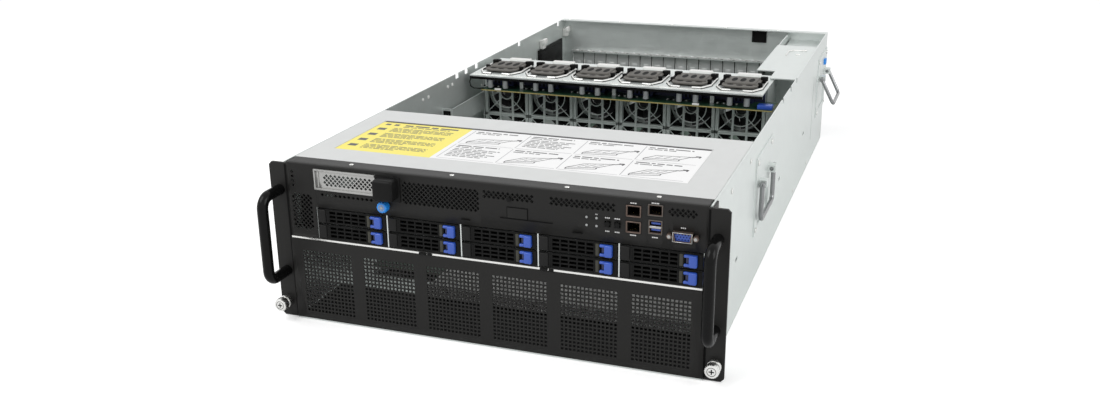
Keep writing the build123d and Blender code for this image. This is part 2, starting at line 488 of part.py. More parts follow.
# Front cover with a shallow field for its label, a groove behind it and a stiffening flange
with BuildPart() as front_cover:
    with BuildSketch(Plane.XY.offset(COVER_UNDER)):
        rect(FIT - INNER, INNER - FIT, depth(LIP_D), depth(COVER_Y1))
    extrude(amount=SHEET)
    with BuildSketch(Plane.XY.offset(BODY_H)):
        rect(LABEL_X0, LABEL_X1, depth(LABEL_Y0), depth(LABEL_Y1))
    extrude(amount=-LABEL_DEEP, mode=Mode.SUBTRACT)
    with BuildSketch(Plane.XY.offset(BODY_H)):
        rect(LABEL_X0, LABEL_X1, depth(LABEL_Y1), depth(LABEL_Y1 + GROOVE_W))
    extrude(amount=-GROOVE_DEEP, mode=Mode.SUBTRACT)
    with BuildSketch(facing(depth(COVER_Y1))):
        rect(LEDGE_W + FIT - INNER, INNER - LEDGE_W - FIT, COVER_UNDER - COVER_FLANGE, COVER_UNDER)
    extrude(amount=SHEET)
save(front_cover.part, "front_cover")

# Fan bridge: a top plate with an opening over each column, end legs, a shelf and a skirt
with BuildPart() as fan_bridge:
    with BuildSketch(Plane.XY.offset(BRIDGE_Z)):
        rect(BRIDGE_X0, BRIDGE_X1, depth(BRIDGE_Y0), depth(BRIDGE_Y1))
        with Locations((FAN_MID, depth(FAN_Y + FAN_D / 2))):
            with GridLocations(FAN_PITCH, 0, FAN_COLS, 1):
                Rectangle(CAP_BOSS_W + 2 * FIT, CAP_BOSS_D + 2 * FIT, mode=Mode.SUBTRACT)
    extrude(amount=SHEET)
    with BuildSketch(facing(depth(BRIDGE_Y0))):
        rect(BRIDGE_X0, BRIDGE_X1, BRIDGE_Z - BRIDGE_LIP, BRIDGE_Z)
    extrude(amount=-SHEET)
    with BuildSketch(facing(depth(FAN_Y))):
        for x0, x1 in ((BRIDGE_X0, BRIDGE_X0 + SHEET), (BRIDGE_X1 - SHEET, BRIDGE_X1)):
            rect(x0, x1, SHEET, BRIDGE_Z)
        rect(BRIDGE_X0, BRIDGE_X1, FAN_SHELF_Z - SHEET, FAN_SHELF_Z)
    extrude(amount=FAN_Y - BRIDGE_Y1)
    with BuildSketch(facing(depth(FAN_Y + FAN_D))):
        rect(BRIDGE_X0, BRIDGE_X1, SHEET, FAN_SHELF_Z)
    extrude(amount=SHEET)
    with BuildSketch(Plane.XY.offset(FAN_BOARD_Z)):
        with Locations((FAN_MID, depth((BRIDGE_Y0 + FAN_Y) / 2))):
            with GridLocations(2 * FAN_PITCH, 0, FAN_COLS // 2, 1):
                Rectangle(POST_W, POST_W)
    extrude(amount=BRIDGE_Z - FAN_BOARD_Z)
save(fan_bridge.part, "fan_bridge")

# Fan frames: a bored housing with a barred guard in front and a motor mount on a strut behind
with BuildPart() as fan_frames:
    with BuildSketch(facing(depth(FAN_Y + GUARD_T))):
        for x in FAN_X:
            for z in FAN_Z:
                with Locations((x, z)):
                    Rectangle(FAN_W, FAN_H - 2 * RUN)
                    RegularPolygon(around(FAN_BORE_R, FAN_BORE_SIDES), FAN_BORE_SIDES, mode=Mode.SUBTRACT)
    extrude(amount=GUARD_T + FAN_HUB_T - FAN_D)
    with BuildSketch(facing(depth(FAN_Y))):
        for x in FAN_X:
            for z in FAN_Z:
                with Locations((x, z)):
                    with GridLocations(GUARD_PITCH, 0, 2, 1):
                        Rectangle(GUARD_BAR, FAN_H - 2 * RUN)
                    Rectangle(FAN_W, GUARD_BAR)
    extrude(amount=-GUARD_T)
    with BuildSketch(facing(depth(FAN_Y + FAN_D))):
        for x in FAN_X:
            for z in FAN_Z:
                with Locations((x, z)):
                    RegularPolygon(FAN_HUB_R, FACETS)
                    Rectangle(STRUT_W, FAN_H - 2 * RUN)
                    RegularPolygon(around(ROTOR_SHAFT_R + RUN, FACETS), FACETS, mode=Mode.SUBTRACT)
    extrude(amount=FAN_HUB_T)
save(fan_frames.part, "fan_frames")

# Fan rotors: a faceted hub with a pitched blade on every second face, on a short shaft
ROTOR_Y = depth(FAN_Y + FAN_D - FAN_HUB_T - HUB_GAP)
HUB_FLAT = ROTOR_HUB_R * cos(radians(180 / (2 * BLADES)))
BLADE_TIP = (FAN_BORE_R - ROTOR_TIP_GAP) * cos(radians(BLADE_SWEEP))
for column, x in enumerate(FAN_X):
    for row, z in enumerate(FAN_Z):
        with BuildPart() as rotor:
            with BuildSketch(facing(ROTOR_Y)):
                with Locations((x, z)):
                    RegularPolygon(ROTOR_HUB_R, 2 * BLADES)
            extrude(amount=ROTOR_HUB_L)
            for step in range(BLADES):
                turn = radians(360 / BLADES * (step + 0.25))
                outward = Vector(cos(turn), 0, sin(turn))
                across = Vector(-sin(turn), 0, cos(turn))
                lean = across * cos(radians(BLADE_PITCH)) + Vector(0, 1, 0) * sin(radians(BLADE_PITCH))
                root = Vector(x, ROTOR_Y - ROTOR_HUB_L / 2, z) + outward * HUB_FLAT
                with BuildSketch(Plane(origin=root, x_dir=outward, z_dir=outward.cross(lean))):
                    with BuildLine():
                        Polyline((0, -BLADE_ROOT / 2), (BLADE_TIP - HUB_FLAT, -BLADE_CHORD / 2),
                                 (BLADE_TIP - HUB_FLAT, BLADE_CHORD / 2), (0, BLADE_ROOT / 2), close=True)
                    make_face()
                extrude(amount=BLADE_T / 2, both=True)
            with BuildSketch(facing(ROTOR_Y)):
                with Locations((x, z)):
                    RegularPolygon(ROTOR_SHAFT_R, FACETS)
            extrude(amount=-HUB_GAP - FAN_HUB_T)
        save(rotor.part, f"fan_rotor_{'lower' if row == 0 else 'upper'}_{column + 1}")

# Fan caps: the plastic tops by which the fans are lifted
with BuildPart() as fan_caps:
    with BuildSketch(Plane.XY.offset(FAN_TOP)):
        with Locations((FAN_MID, depth(FAN_Y + FAN_D / 2))):
            with GridLocations(FAN_PITCH, 0, FAN_COLS, 1):
                Rectangle(CAP_BOSS_W, CAP_BOSS_D)
    extrude(amount=BRIDGE_GAP + SHEET + CAP_LIFT)
    for x in FAN_X:
        with BuildSketch(Plane.XY.offset(BRIDGE_Z + SHEET + CAP_LIFT)):
            with BuildLine():
                Polyline((x - CAP_NOSE / 2, depth(CAP_Y)), (x + CAP_NOSE / 2, depth(CAP_Y)),
                         (x + CAP_W / 2, depth(CAP_Y + CAP_D / 4)), (x + CAP_W / 2, depth(CAP_Y + CAP_D)),
                         (x - CAP_W / 2, depth(CAP_Y + CAP_D)), (x - CAP_W / 2, depth(CAP_Y + CAP_D / 4)),
                         close=True)
            make_face()
            with Locations((x, depth(CAP_Y + CAP_D / 4))), GridLocations(CAP_HOLE_PITCH, 0, 2, 1):
                Rectangle(CAP_HOLE_W, CAP_HOLE_H, mode=Mode.SUBTRACT)
        extrude(amount=CAP_T)
save(fan_caps.part, "fan_caps")

# Circuit boards with what is soldered or clamped to them
BOARD_Z = SHEET + STANDOFF_H
CARD_Y1 = REAR - CARD_REAR
with BuildPart() as fan_board:
    with BuildSketch(Plane.XY.offset(FAN_BOARD_Z)):
        rect(FAN_BOARD_X0, FAN_BOARD_X1, depth(BRIDGE_Y0), depth(FAN_Y))
    extrude(amount=-BOARD_T)
    with BuildSketch(Plane.XY.offset(FAN_BOARD_Z)):
        with Locations([(x + step, depth(CAN_Y)) for x in FAN_X for step in CAN_STEPS]):
            RegularPolygon(CAN_R, FACETS)
    extrude(amount=CAN_H)
    with BuildSketch(Plane.XY.offset(FAN_BOARD_Z)):
        with Locations((FAN_MID, depth(PLUG_Y + PLUG_D / 2 + POST_W))):
            with GridLocations(FAN_PITCH, 0, FAN_COLS, 1):
                Rectangle(PLUG_W, PLUG_D)
    extrude(amount=PLUG_H)

with BuildPart() as main_board:
    with BuildSketch(Plane.XY.offset(BOARD_Z)):
        rect(-MAIN_X, MAIN_X, depth(MAIN_Y0), depth(MAIN_Y1))
    extrude(amount=BOARD_T)
    with BuildSketch(Plane.XY.offset(BOARD_Z)):
        with Locations((0, depth((MAIN_Y0 + MAIN_Y1) / 2))):
            with GridLocations(2 * MAIN_X - 8 * STANDOFF_R, MAIN_Y1 - MAIN_Y0 - 8 * STANDOFF_R, 2, 2):
                RegularPolygon(STANDOFF_R, STANDOFF_SIDES)
    extrude(amount=-STANDOFF_H)
    with BuildSketch(Plane.XY.offset(BOARD_Z + BOARD_T)):
        for side in (-1, 1):
            for bank in (-1, 1):
                with Locations((side * SINK_SPAN / 2 + bank * DIMM_MID, depth(SINK_Y))):
                    with GridLocations(DIMM_PITCH, 0, DIMM_BANK, 1):
                        Rectangle(DIMM_T, DIMM_L)
    extrude(amount=DIMM_H)

heat_sinks = []
for side in (-1, 1):
    with BuildPart() as heat_sink:
        with BuildSketch(facing(depth(SINK_Y + SINK_D / 2))):
            x, z = side * SINK_SPAN / 2, BOARD_Z + BOARD_T
            rect(x - SINK_W / 2, x + SINK_W / 2, z, z + SINK_BASE)
            with Locations((x, z + SINK_H / 2)):
                with GridLocations((SINK_W - SINK_FIN_T) / (SINK_FINS - 1), 0, SINK_FINS, 1):
                    Rectangle(SINK_FIN_T, SINK_H)
        extrude(amount=SINK_D)
    heat_sinks.append(heat_sink.part)

with BuildPart() as card_board:
    with BuildSketch(Plane.XY.offset(BOARD_Z)):
        rect(CARD_X0, CARD_X1, depth(CARD_Y0), CARD_Y1)
    extrude(amount=BOARD_T)
    with BuildSketch(Plane.XY.offset(BOARD_Z)):
        with Locations(((CARD_X0 + CARD_X1) / 2, (depth(CARD_Y0) + CARD_Y1) / 2)):
            with GridLocations(CARD_X1 - CARD_X0 - 8 * STANDOFF_R,
                               CARD_Y1 - depth(CARD_Y0) - 8 * STANDOFF_R, 2, 2):
                RegularPolygon(STANDOFF_R, STANDOFF_SIDES)
    extrude(amount=-STANDOFF_H)
    with BuildSketch(Plane.XY.offset(BOARD_Z + BOARD_T)):
        with Locations(((CARD_X0 + CARD_X1) / 2, REAR - SOCKET_REAR)):
            with GridLocations(SOCKET_PITCH, 0, SOCKETS, 1):
                Rectangle(SOCKET_W, SOCKET_L)
    extrude(amount=SOCKET_H)

with BuildPart() as backplane:
    with BuildSketch(facing(depth(CAGE_D))):
        rect(BAY_LEFT, BAY_RIGHT, BAY_Z, BAY_Z + BACKPLANE_H)
        with Locations(((BAY_LEFT + BAY_RIGHT) / 2, BAY_Z + BACKPLANE_H / 2)):
            with GridLocations(BAY_PITCH, CELL_STEP, BAY_COLS, BAY_ROWS - 1):
                Rectangle(BACKPLANE_SLOT_W, BACKPLANE_SLOT_H, mode=Mode.SUBTRACT)
    extrude(amount=-BOARD_T)
save(Compound(children=[fan_board.part, main_board.part, *heat_sinks, card_board.part, backplane.part]),
     "circuit_boards")

# Power supplies, standing on edge, each with a grip, an inlet and a release tab
for number, z in enumerate(reversed(PSU_Z), start=1):
    face = REAR + PSU_OUT
    with BuildPart() as power_supply:
        with BuildSketch(facing(face)):
            with Locations((PSU_X, z)):
                Rectangle(PSU_W, PSU_H)
        extrude(amount=PSU_L)
        with BuildSketch(facing(face)):
            with Locations((PSU_X, z - PSU_INLET_RISE)):
                Rectangle(PSU_INLET_W, PSU_INLET_H)
        extrude(amount=PSU_INLET_D, mode=Mode.SUBTRACT)
        with BuildSketch(facing(face)):
            with Locations((PSU_X + PSU_W / 2 - PSU_TAB_W, z + PSU_H / 2 - PSU_TAB_H)):
                Rectangle(PSU_TAB_W, PSU_TAB_H)
        extrude(amount=-PSU_TAB_L)
        with BuildLine() as psu_path:
            x = PSU_X - PSU_W / 2 + 3 * PSU_GRIP_R
            Polyline((x, face, z + PSU_GRIP_SPAN / 2), (x, face + PSU_GRIP, z + PSU_GRIP_SPAN / 2),
                     (x, face + PSU_GRIP, z - PSU_GRIP_SPAN / 2), (x, face, z - PSU_GRIP_SPAN / 2))
        with BuildSketch(Plane(origin=(x, face, z + PSU_GRIP_SPAN / 2), z_dir=(0, 1, 0))):
            Rectangle(2 * PSU_GRIP_R, 2 * PSU_GRIP_R)
        sweep(path=psu_path.wire(), transition=Transition.RIGHT)
    save(power_supply.part, f"power_supply_{number}")

# Lifting handles: a plate with two knuckles on each side wall, and a bail pinned in them
PIN_L = KNUCKLE_L - KNUCKLE_GAP
KNUCKLE_R = PIN_R + RUN + KNUCKLE_WALL
with BuildPart() as handle_plates:
    for y in LIFT_Y:
        with BuildSketch(Plane.YZ.offset(HALF)):
            with Locations((depth(y), (LIFT_Z0 + LIFT_Z1) / 2)):
                Rectangle(LIFT_L, LIFT_Z1 - LIFT_Z0)
            rect(depth(y - LIFT_WINDOW_L / 2), depth(y + LIFT_WINDOW_L / 2), LIFT_WINDOW_Z0, LIFT_WINDOW_Z1,
                 mode=Mode.SUBTRACT)
        extrude(amount=LIFT_PLATE_T)
        for end in (-1, 1):
            outer = depth(y) + end * ((BAIL_W - BAR_W) / 2 - KNUCKLE_GAP)
            with BuildSketch(facing(outer)):
                rect(HALF + LIFT_PLATE_T, PIVOT_X + KNUCKLE_R, PIVOT_Z - KNUCKLE_R, PIVOT_Z + KNUCKLE_R)
                with Locations((PIVOT_X, PIVOT_Z)):
                    RegularPolygon(around(PIN_R + RUN, FACETS), FACETS, mode=Mode.SUBTRACT)
            extrude(amount=end * KNUCKLE_L)
    mirror(about=Plane.YZ)
save(handle_plates.part, "handle_plates")

for name, side, y, swing in (("lift_bail_left_front", -1, LIFT_Y[0], 0),
                             ("lift_bail_left_rear", -1, LIFT_Y[1], 0),
                             ("lift_bail_right_front", 1, LIFT_Y[0], 0),
                             ("lift_bail_right_rear", 1, LIFT_Y[1], REAR_BAIL_SWING)):
    out = Vector(side * cos(radians(swing)), 0, sin(radians(swing)))
    with BuildPart() as bail:
        with BuildSketch(Plane(origin=(side * PIVOT_X, depth(y), PIVOT_Z), x_dir=(0, 1, 0), z_dir=out)) as loop:
            down = 1 if loop.workplanes[0].y_dir.Z < 0 else -1
            with Locations((0, down * (BAIL_DROP / 2))):
                Rectangle(BAIL_W + BAR_W, BAIL_DROP + BAR_W)
                chamfer(loop.vertices().group_by(Axis.Y)[-1 if down > 0 else 0], BAIL_CORNER)
            with Locations((0, down * (BAIL_DROP / 2 - BAR_W / 2))):
                Rectangle(BAIL_W - BAR_W, BAIL_DROP, mode=Mode.SUBTRACT)
        extrude(amount=BAR_W / 2, both=True)
        for end in (-1, 1):
            with BuildSketch(facing(depth(y) + end * (BAIL_W - BAR_W) / 2)):
                with Locations((side * PIVOT_X, PIVOT_Z)):
                    RegularPolygon(PIN_R, FACETS)
            extrude(amount=end * PIN_L)
    save(bail.part, name)
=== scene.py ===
"""Fine pieces, finishes and stage of a four-unit server for accelerator cards.

Pieces are shaped in millimetres, with Y as the depth behind the front face. They are moved and scaled into the frame
of the solids when they are placed.
"""
from math import cos, pi, radians, sin

import bmesh
import bpy
from bmesh.types import BMEdge, BMFace, BMVert
from bpy.props import FloatProperty, FloatVectorProperty, IntProperty, PointerProperty
from bpy.types import NodeSocket, Operator, Panel, PropertyGroup, Scene
from mathutils import Euler, Matrix, Quaternion, Vector


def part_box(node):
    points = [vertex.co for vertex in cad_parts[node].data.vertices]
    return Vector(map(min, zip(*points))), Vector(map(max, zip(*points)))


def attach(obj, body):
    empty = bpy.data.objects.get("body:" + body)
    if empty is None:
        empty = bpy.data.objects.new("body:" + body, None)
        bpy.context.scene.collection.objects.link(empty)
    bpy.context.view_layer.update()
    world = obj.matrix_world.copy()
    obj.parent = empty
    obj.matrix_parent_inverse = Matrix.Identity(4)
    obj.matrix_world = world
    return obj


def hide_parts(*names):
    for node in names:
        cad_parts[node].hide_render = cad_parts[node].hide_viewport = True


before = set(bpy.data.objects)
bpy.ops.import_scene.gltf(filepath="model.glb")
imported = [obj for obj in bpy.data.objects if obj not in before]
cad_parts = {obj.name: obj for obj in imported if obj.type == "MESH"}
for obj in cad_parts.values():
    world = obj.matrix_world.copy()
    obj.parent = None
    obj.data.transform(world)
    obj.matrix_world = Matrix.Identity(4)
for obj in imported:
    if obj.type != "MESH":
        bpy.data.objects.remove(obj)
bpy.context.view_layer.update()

bl_info = {
    "name": "Accelerator Server",
    "version": (1, 0, 0),
    "blender": (4, 5, 0),
    "location": "View3D > Sidebar > Server",
    "description": "Fine pieces and finishes for a four-unit server with a wall of fans",
    "category": "Object",
}

MM = 0.001
TOUCH = 1e-3
FRONT = Vector((0, -440, 0))
RIGHT, UP = Vector((1, 0, 0)), Vector((0, 0, 1))
SIDES = (-1, 1)
FAN_X = [-177.5 + 67 * column for column in range(6)]
FAN_Z = {"lower": 72.25, "upper": 134.75}
FAN_Y, FAN_BORE = 495, 28.5
TRAYS = range(1, 11)
BAY_X = [-188.4 + 81.4 * (bay + 0.5) for bay in range(5)]
JACKS = ((150.7, 162.3), (150.7, 146.5), (171.5, 165.4))
USB_X, USB_Z = 171.7, 148.9
DISPLAY_X, DISPLAY_Z = 198.3, 143.2
BUTTON_X, BUTTON_Z = {"power_button": 125.7, "id_button": 135.3}, 146.8
LABEL_Z, PRINT_Z = 174.5, 174.76
# Index 2 is the label ink, which also paints the shadow line along the cover's groove.
INK_AND_GROOVE_SHADOW, FAINT_INK = 2, 3
BOARD_FINISHES = ("board_lacquer", "board_edge", "can_sleeve", "navy_plug_and_latch_shade", "moulded_black", "gold_contact",
                  "nylon_white", "latch_plastic", "sink_alloy")
LACQUER, EDGE, CAN, PLUG, BLACK, GOLD, WHITE, BLUE, ALLOY = range(len(BOARD_FINISHES))
SUPPLIES = ("power_supply_1", "power_supply_2")
LIFT_Y = {"front": 285, "rear": 826}
BAIL_SWING = {"lift_bail_left_front": 0, "lift_bail_left_rear": 0, "lift_bail_right_front": 0,
              "lift_bail_right_rear": 27}


def colour(name, description, default):
    """Colour setting with its name, description and default."""
    return FloatVectorProperty(name=name, description=description, default=default, size=3, subtype="COLOR",
                               min=0, max=1)


def length(name, description, default):
    """Length setting, given in millimetres and kept in metres."""
    return FloatProperty(name=name, description=description, default=default * MM, min=0, unit="LENGTH", precision=5)


class ServerSizes(PropertyGroup):
    """Sizes of the fine pieces."""
    hole_pitch: length("Hole pitch", "Spacing of the intake grille's square holes", 4.2)
    hole_bar: length("Hole bar", "Metal left between the intake grille's holes", 2.0)
    vent_pitch: length("Vent pitch", "Spacing of the upper panel's slanting holes", 5.0)
    vent_bar: length("Vent bar", "Metal left between the upper panel's holes", 1.35)
    guard_wire: length("Guard wire", "Thickness of the fan guards' rings and spokes", 1.5)
    blades: IntProperty(name="Blades", description="Blades of each fan", default=5, min=3, max=11)
    fins: IntProperty(name="Fins", description="Fins of each heat sink", default=22, min=4, max=40)


class ServerColours(PropertyGroup):
    """Colours of the finishes."""
    steel: colour("Sheet steel", "Zinc-coated sheet of the case", (0.705, 0.742, 0.727))
    cover: colour("Cover steel", "Sheet of the cover and the slot covers", (0.66, 0.67, 0.665))
    bright: colour("Bright steel", "Plated screws, shells and brackets", (0.82, 0.82, 0.80))
    paint: colour("Panel paint", "Powder coat of the front", (0.0150, 0.0147, 0.0140))
    gloss: colour("Grip paint", "Gloss paint of the pull handles", (0.004, 0.004, 0.004))
    plastic: colour("Black plastic", "Trays and retainer", (0.0080, 0.0080, 0.0079))
    guard: colour("Guard grey", "Fan housings and guards", (0.60, 0.655, 0.63))
    cap: colour("Cap brown", "Lifting caps of the fans", (0.096, 0.090, 0.080))
    latch: colour("Latch blue", "Release latches", (0.032, 0.095, 0.47))
    knob: colour("Knob blue", "Knob of the retainer", (0.010, 0.24, 0.74))
    board: colour("Board green", "Lacquer of the circuit boards", (0.018, 0.055, 0.030))
    edge: colour("Board edge", "Bare edge of the circuit boards", (0.36, 0.30, 0.11))
    yellow: colour("Label yellow", "Left part of the cover's label", (0.90, 0.78, 0.13))


class StageSettings(PropertyGroup):
    """Camera, light and floor."""
    lens: FloatProperty(name="Lens", description="Focal length on a 36 mm sensor", default=36.2, min=1,
                        unit="CAMERA")
    roll: FloatProperty(name="Roll", description="Tilt of the camera about its view", default=radians(-0.65),
                        subtype="ANGLE")
    key: FloatProperty(name="Key light", description="Power of the main lamp", default=38, min=0, unit="POWER")
    fill: FloatProperty(name="Fill light", description="Power of the side lamp", default=24, min=0, unit="POWER")
    sky: FloatProperty(name="Sky", description="Strength of the even light from all round", default=0.62, min=0)
    floor: colour("Floor", "Pale floor", (0.93, 0.93, 0.93))


def mm(value):
    """Length setting in millimetres."""
    return value / MM


def span(node):
    """Lowest and highest corner of a solid, in millimetres and behind the front face."""
    return [Vector(corner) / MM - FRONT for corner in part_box(node)]


def about(middle, half):
    """Limits to both sides of a middle."""
    return middle - half, middle + half


def only(kind, found):
    """Points, edges or faces among what an operator gives back."""
    return [part for part in found if isinstance(part, kind)]


def joined(faces):
    """Faces with their edges and points, each once."""
    return [*faces, *dict.fromkeys(e for f in faces for e in f.edges),
            *dict.fromkeys(v for f in faces for v in f.verts)]


def coat(verts, paint):
    """Give the whole shape that these points belong to one finish, and return its faces."""
    points, todo, faces = set(verts), list(verts), {}
    while todo:
        for face in todo.pop().link_faces:
            if face not in faces:
                faces[face] = None
                face.material_index = paint
                todo += [v for v in face.verts if v not in points]
                points.update(face.verts)
    return list(faces)


def soften(bm, faces, edge, steps=2):
    """Round the sharp edges between these faces."""
    sharp = [e for e in dict.fromkeys(e for f in faces for e in f.edges) if e.calc_face_angle(0) > 0.9]
    bmesh.ops.bevel(bm, geom=sharp, offset=edge, offset_type="OFFSET", affect="EDGES", segments=steps,
                    profile=0.5, material=-1, clamp_overlap=True)


def block(bm, x, y, z, paint=0, edge=0.0, steps=2):
    """Rectangular shape between pairs of limits, with its edges rounded."""
    middle = Vector([(a + b) / 2 for a, b in (x, y, z)])
    size = Vector([abs(b - a) for a, b in (x, y, z)])
    verts = bmesh.ops.create_cube(bm, size=1, matrix=Matrix.LocRotScale(middle, None, size))["verts"]
    faces = coat(verts, paint)
    if edge:
        soften(bm, faces, edge, steps)


def blocks(bm, *rows):
    """Several rectangular shapes, each as a row of what block takes."""
    for row in rows:
        block(bm, *row)


def surround(bm, x, y, z, upright, level, paint=0, edge=0.0, steps=2):
    """Four bars round a place; each pair's two faces and half length are measured from the middle."""
    for side in SIDES:
        block(bm, (x + side * upright[0], x + side * upright[1]), y, about(z, upright[2]), paint, edge, steps)
        block(bm, about(x, level[2]), y, (z + side * level[0], z + side * level[1]), paint, edge, steps)


def rod(bm, x, y, z, radius, paint=0, sides=16, edge=0.0):
    """Round shape from the first to the second of each pair of values; a single value holds at both ends."""
    pairs = (value if isinstance(value, tuple) else (value, value) for value in (x, y, z))
    start, end = (Vector(point) for point in zip(*pairs))
    turn = (end - start).to_track_quat("Z", "Y")
    verts = bmesh.ops.create_cone(bm, cap_ends=True, segments=sides, radius1=radius, radius2=radius,
                                  depth=(end - start).length,
                                  matrix=Matrix.LocRotScale((start + end) / 2, turn, None))["verts"]
    faces = coat(verts, paint)
    if edge:
        soften(bm, faces, edge)


def wire(bm, points, radius, paint=0):
    """Thin round wire along a row of points."""
    for near, far in zip(points, points[1:]):
        rod(bm, *zip(near, far), radius, paint, 8)


def knurl(bm, x, y, z, reach, count, radius, sides, edge=0.0):
    """Ring of even ribs round a grip that faces the front."""
    for step in range(count):
        angle = 2 * pi * step / count
        rod(bm, x + reach * cos(angle), y, z + reach * sin(angle), radius, 0, sides, edge)


def hoop(bm, x, y, z, radius, thick, paint=0, steps=28):
    """Closed ring of wire that faces the front."""
    centre, axis = Vector((x, y, z)), Vector((0, 1, 0))
    out = axis.orthogonal().normalized()
    lie = Matrix((out, axis, out.cross(axis))).transposed().to_quaternion()
    verts = bmesh.ops.create_circle(bm, segments=6, radius=thick,
                                    matrix=Matrix.LocRotScale(centre + out * radius, lie, None))["verts"]
    edges = list(dict.fromkeys(e for v in verts for e in v.link_edges))
    bmesh.ops.spin(bm, geom=[*verts, *edges], cent=centre, axis=axis, angle=2 * pi, steps=steps, use_merge=True)
    coat([v for v in verts if v.is_valid], paint)


def bent_bar(bm, start, heading, radius, moves, sides, steps):
    """Round bar from a point, as straight runs that each end in a bend about the X axis."""
    at, heading = Vector(start), Vector(heading)
    verts = bmesh.ops.create_circle(bm, cap_ends=True, segments=sides, radius=radius,
                                    matrix=Matrix.LocRotScale(at, heading.to_track_quat("Z", "Y"), None))["verts"]
    tip = verts[0].link_faces[0]
    for run, bend, angle in moves:
        grown = bmesh.ops.extrude_face_region(bm, geom=[tip])["geom"]
        if tip.is_valid and all(len(e.link_faces) > 2 for e in tip.edges):
            bmesh.ops.delete(bm, geom=[tip], context="FACES_ONLY")
        tip = only(BMFace, grown)[0]
        bmesh.ops.translate(bm, vec=heading * run, verts=tip.verts)
        at += heading * run
        if angle:
            centre = at + RIGHT.cross(heading) * bend
            turn = Matrix.Rotation(angle, 3, RIGHT)
            spun = bmesh.ops.spin(bm, geom=joined([tip]), cent=centre, axis=RIGHT, angle=angle, steps=steps)
            tip = only(BMFace, spun["geom_last"])[0]
            at, heading = centre + turn @ (at - centre), turn @ heading


def sheet(bm, x, y, z, turn=(pi / 2, 0, 0)):
    """Flat upright sheet at one depth, facing the front unless turned."""
    bmesh.ops.create_grid(bm, x_segments=1, y_segments=1, size=0.5, matrix=Matrix.LocRotScale(
        Vector((sum(x) / 2, y, sum(z) / 2)), Euler(turn), Vector((x[1] - x[0], z[1] - z[0], 1))))


def fold(bm, edges, depth):
    """Grow a flange to the rear from edges of a sheet."""
    grown = bmesh.ops.extrude_edge_only(bm, edges=edges)["geom"]
    bmesh.ops.translate(bm, vec=(0, depth, 0), verts=only(BMVert, grown))


def covers(face, limits):
    """Whether a face lies over any of the area between limits across and up."""
    for (low, high), axis in zip(limits, (RIGHT, UP)):
        along = [v.co.dot(axis) for v in face.verts]
        if max(along) < low + TOUCH or min(along) > high - TOUCH:
            return False
    return True


def window(bm, *limits):
    """One face of a flat sheet between limits across and up, cut free of the rest."""
    for axis, ends in zip((RIGHT, UP), limits):
        for end in ends:
            faces = [f for f in bm.faces if covers(f, limits)]
            bmesh.ops.bisect_plane(bm, geom=joined(faces), plane_co=axis * end, plane_no=axis)
    inside = [f for f in bm.faces if covers(f, limits)]
    return inside[0] if len(inside) == 1 else bmesh.ops.dissolve_faces(bm, faces=inside)["region"][0]


def opening(bm, across, up):
    """Cut a rectangular opening in a flat sheet."""
    bmesh.ops.delete(bm, geom=[window(bm, across, up)], context="FACES_ONLY")


def perforate(bm, across, up, pitch, bar, slant=False):
    """Cut an area of a flat sheet into even cells and open every whole one, leaving bars between them."""
    cells = [window(bm, across, up)]
    area = 1
    for line in ((RIGHT + UP).normalized(), (RIGHT - UP).normalized()) if slant else (RIGHT, UP):
        along = [v.co.dot(line) for f in cells for v in f.verts]
        count = round((max(along) - min(along)) / pitch)
        step = (max(along) - min(along)) / count
        area *= step
        for k in range(1, count):
            cut = bmesh.ops.bisect_plane(bm, geom=joined(cells), plane_co=line * (min(along) + k * step),
                                         plane_no=line)
            cells = only(BMFace, cut["geom"])
    cells = [f for f in cells if f.calc_area() > 0.95 * area]
    bmesh.ops.inset_individual(bm, faces=cells, thickness=bar / 2)
    bmesh.ops.delete(bm, geom=cells, context="FACES_ONLY")


def added(name, data):
    """New object in the scene."""
    piece = bpy.data.objects.new(name, data)
    bpy.context.scene.collection.objects.link(piece)
    return piece


def place(name, bm, finishes, body="chassis", replaces=(), wall=0.0, facing=-1, crease=40):
    """Make a piece of a finished mesh: move and scale it, give it its finishes and let it ride on a body."""
    if not bm.faces:
        raise RuntimeError(f"{name} has no faces")
    closed = [f for f in bm.faces if not any(e.is_boundary for e in f.edges)]
    bmesh.ops.recalc_face_normals(bm, faces=bm.faces if wall else closed)
    if wall and max(bm.faces, key=lambda f: f.calc_area()).normal.y * facing < 0:
        bmesh.ops.reverse_faces(bm, faces=bm.faces)
    bmesh.ops.translate(bm, vec=FRONT, verts=bm.verts)
    bmesh.ops.scale(bm, vec=(MM, MM, MM), verts=bm.verts)
    mesh = bpy.data.meshes.new(name)
    bm.to_mesh(mesh)
    bm.free()
    for finish in finishes:
        mesh.materials.append(bpy.data.materials[finish])
    mesh.shade_smooth()
    mesh.set_sharp_from_angle(angle=radians(crease))
    piece = added(name, mesh)
    if wall:
        thicken = piece.modifiers.new("Sheet", "SOLIDIFY")
        thicken.thickness = wall * MM
        thicken.offset = -1
    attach(piece, body)
    if replaces:
        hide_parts(*replaces)


def dress(finish, *nodes):
    """Give solids that are shown as they are a finish."""
    for node in nodes:
        for material_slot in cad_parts[node].material_slots:
            material_slot.material = bpy.data.materials[finish]


def new_group(name, inputs):
    """Shader node group for a surface, with its sockets, its object coordinates, and what it is given and puts out."""
    group = bpy.data.node_groups.new(name, "ShaderNodeTree")
    for label, value in inputs:
        kind = "NodeSocketColor" if label == "Colour" else "NodeSocketFloat"
        group.interface.new_socket(label, in_out="INPUT", socket_type=kind).default_value = value
    for label, kind in (("Colour", "Color"), ("Roughness", "Float"), ("Height", "Float")):
        group.interface.new_socket(label, in_out="OUTPUT", socket_type=f"NodeSocket{kind}")
    return (group, group.nodes.new("ShaderNodeTexCoord").outputs["Object"],
            group.nodes.new("NodeGroupInput").outputs, group.nodes.new("NodeGroupOutput").inputs)


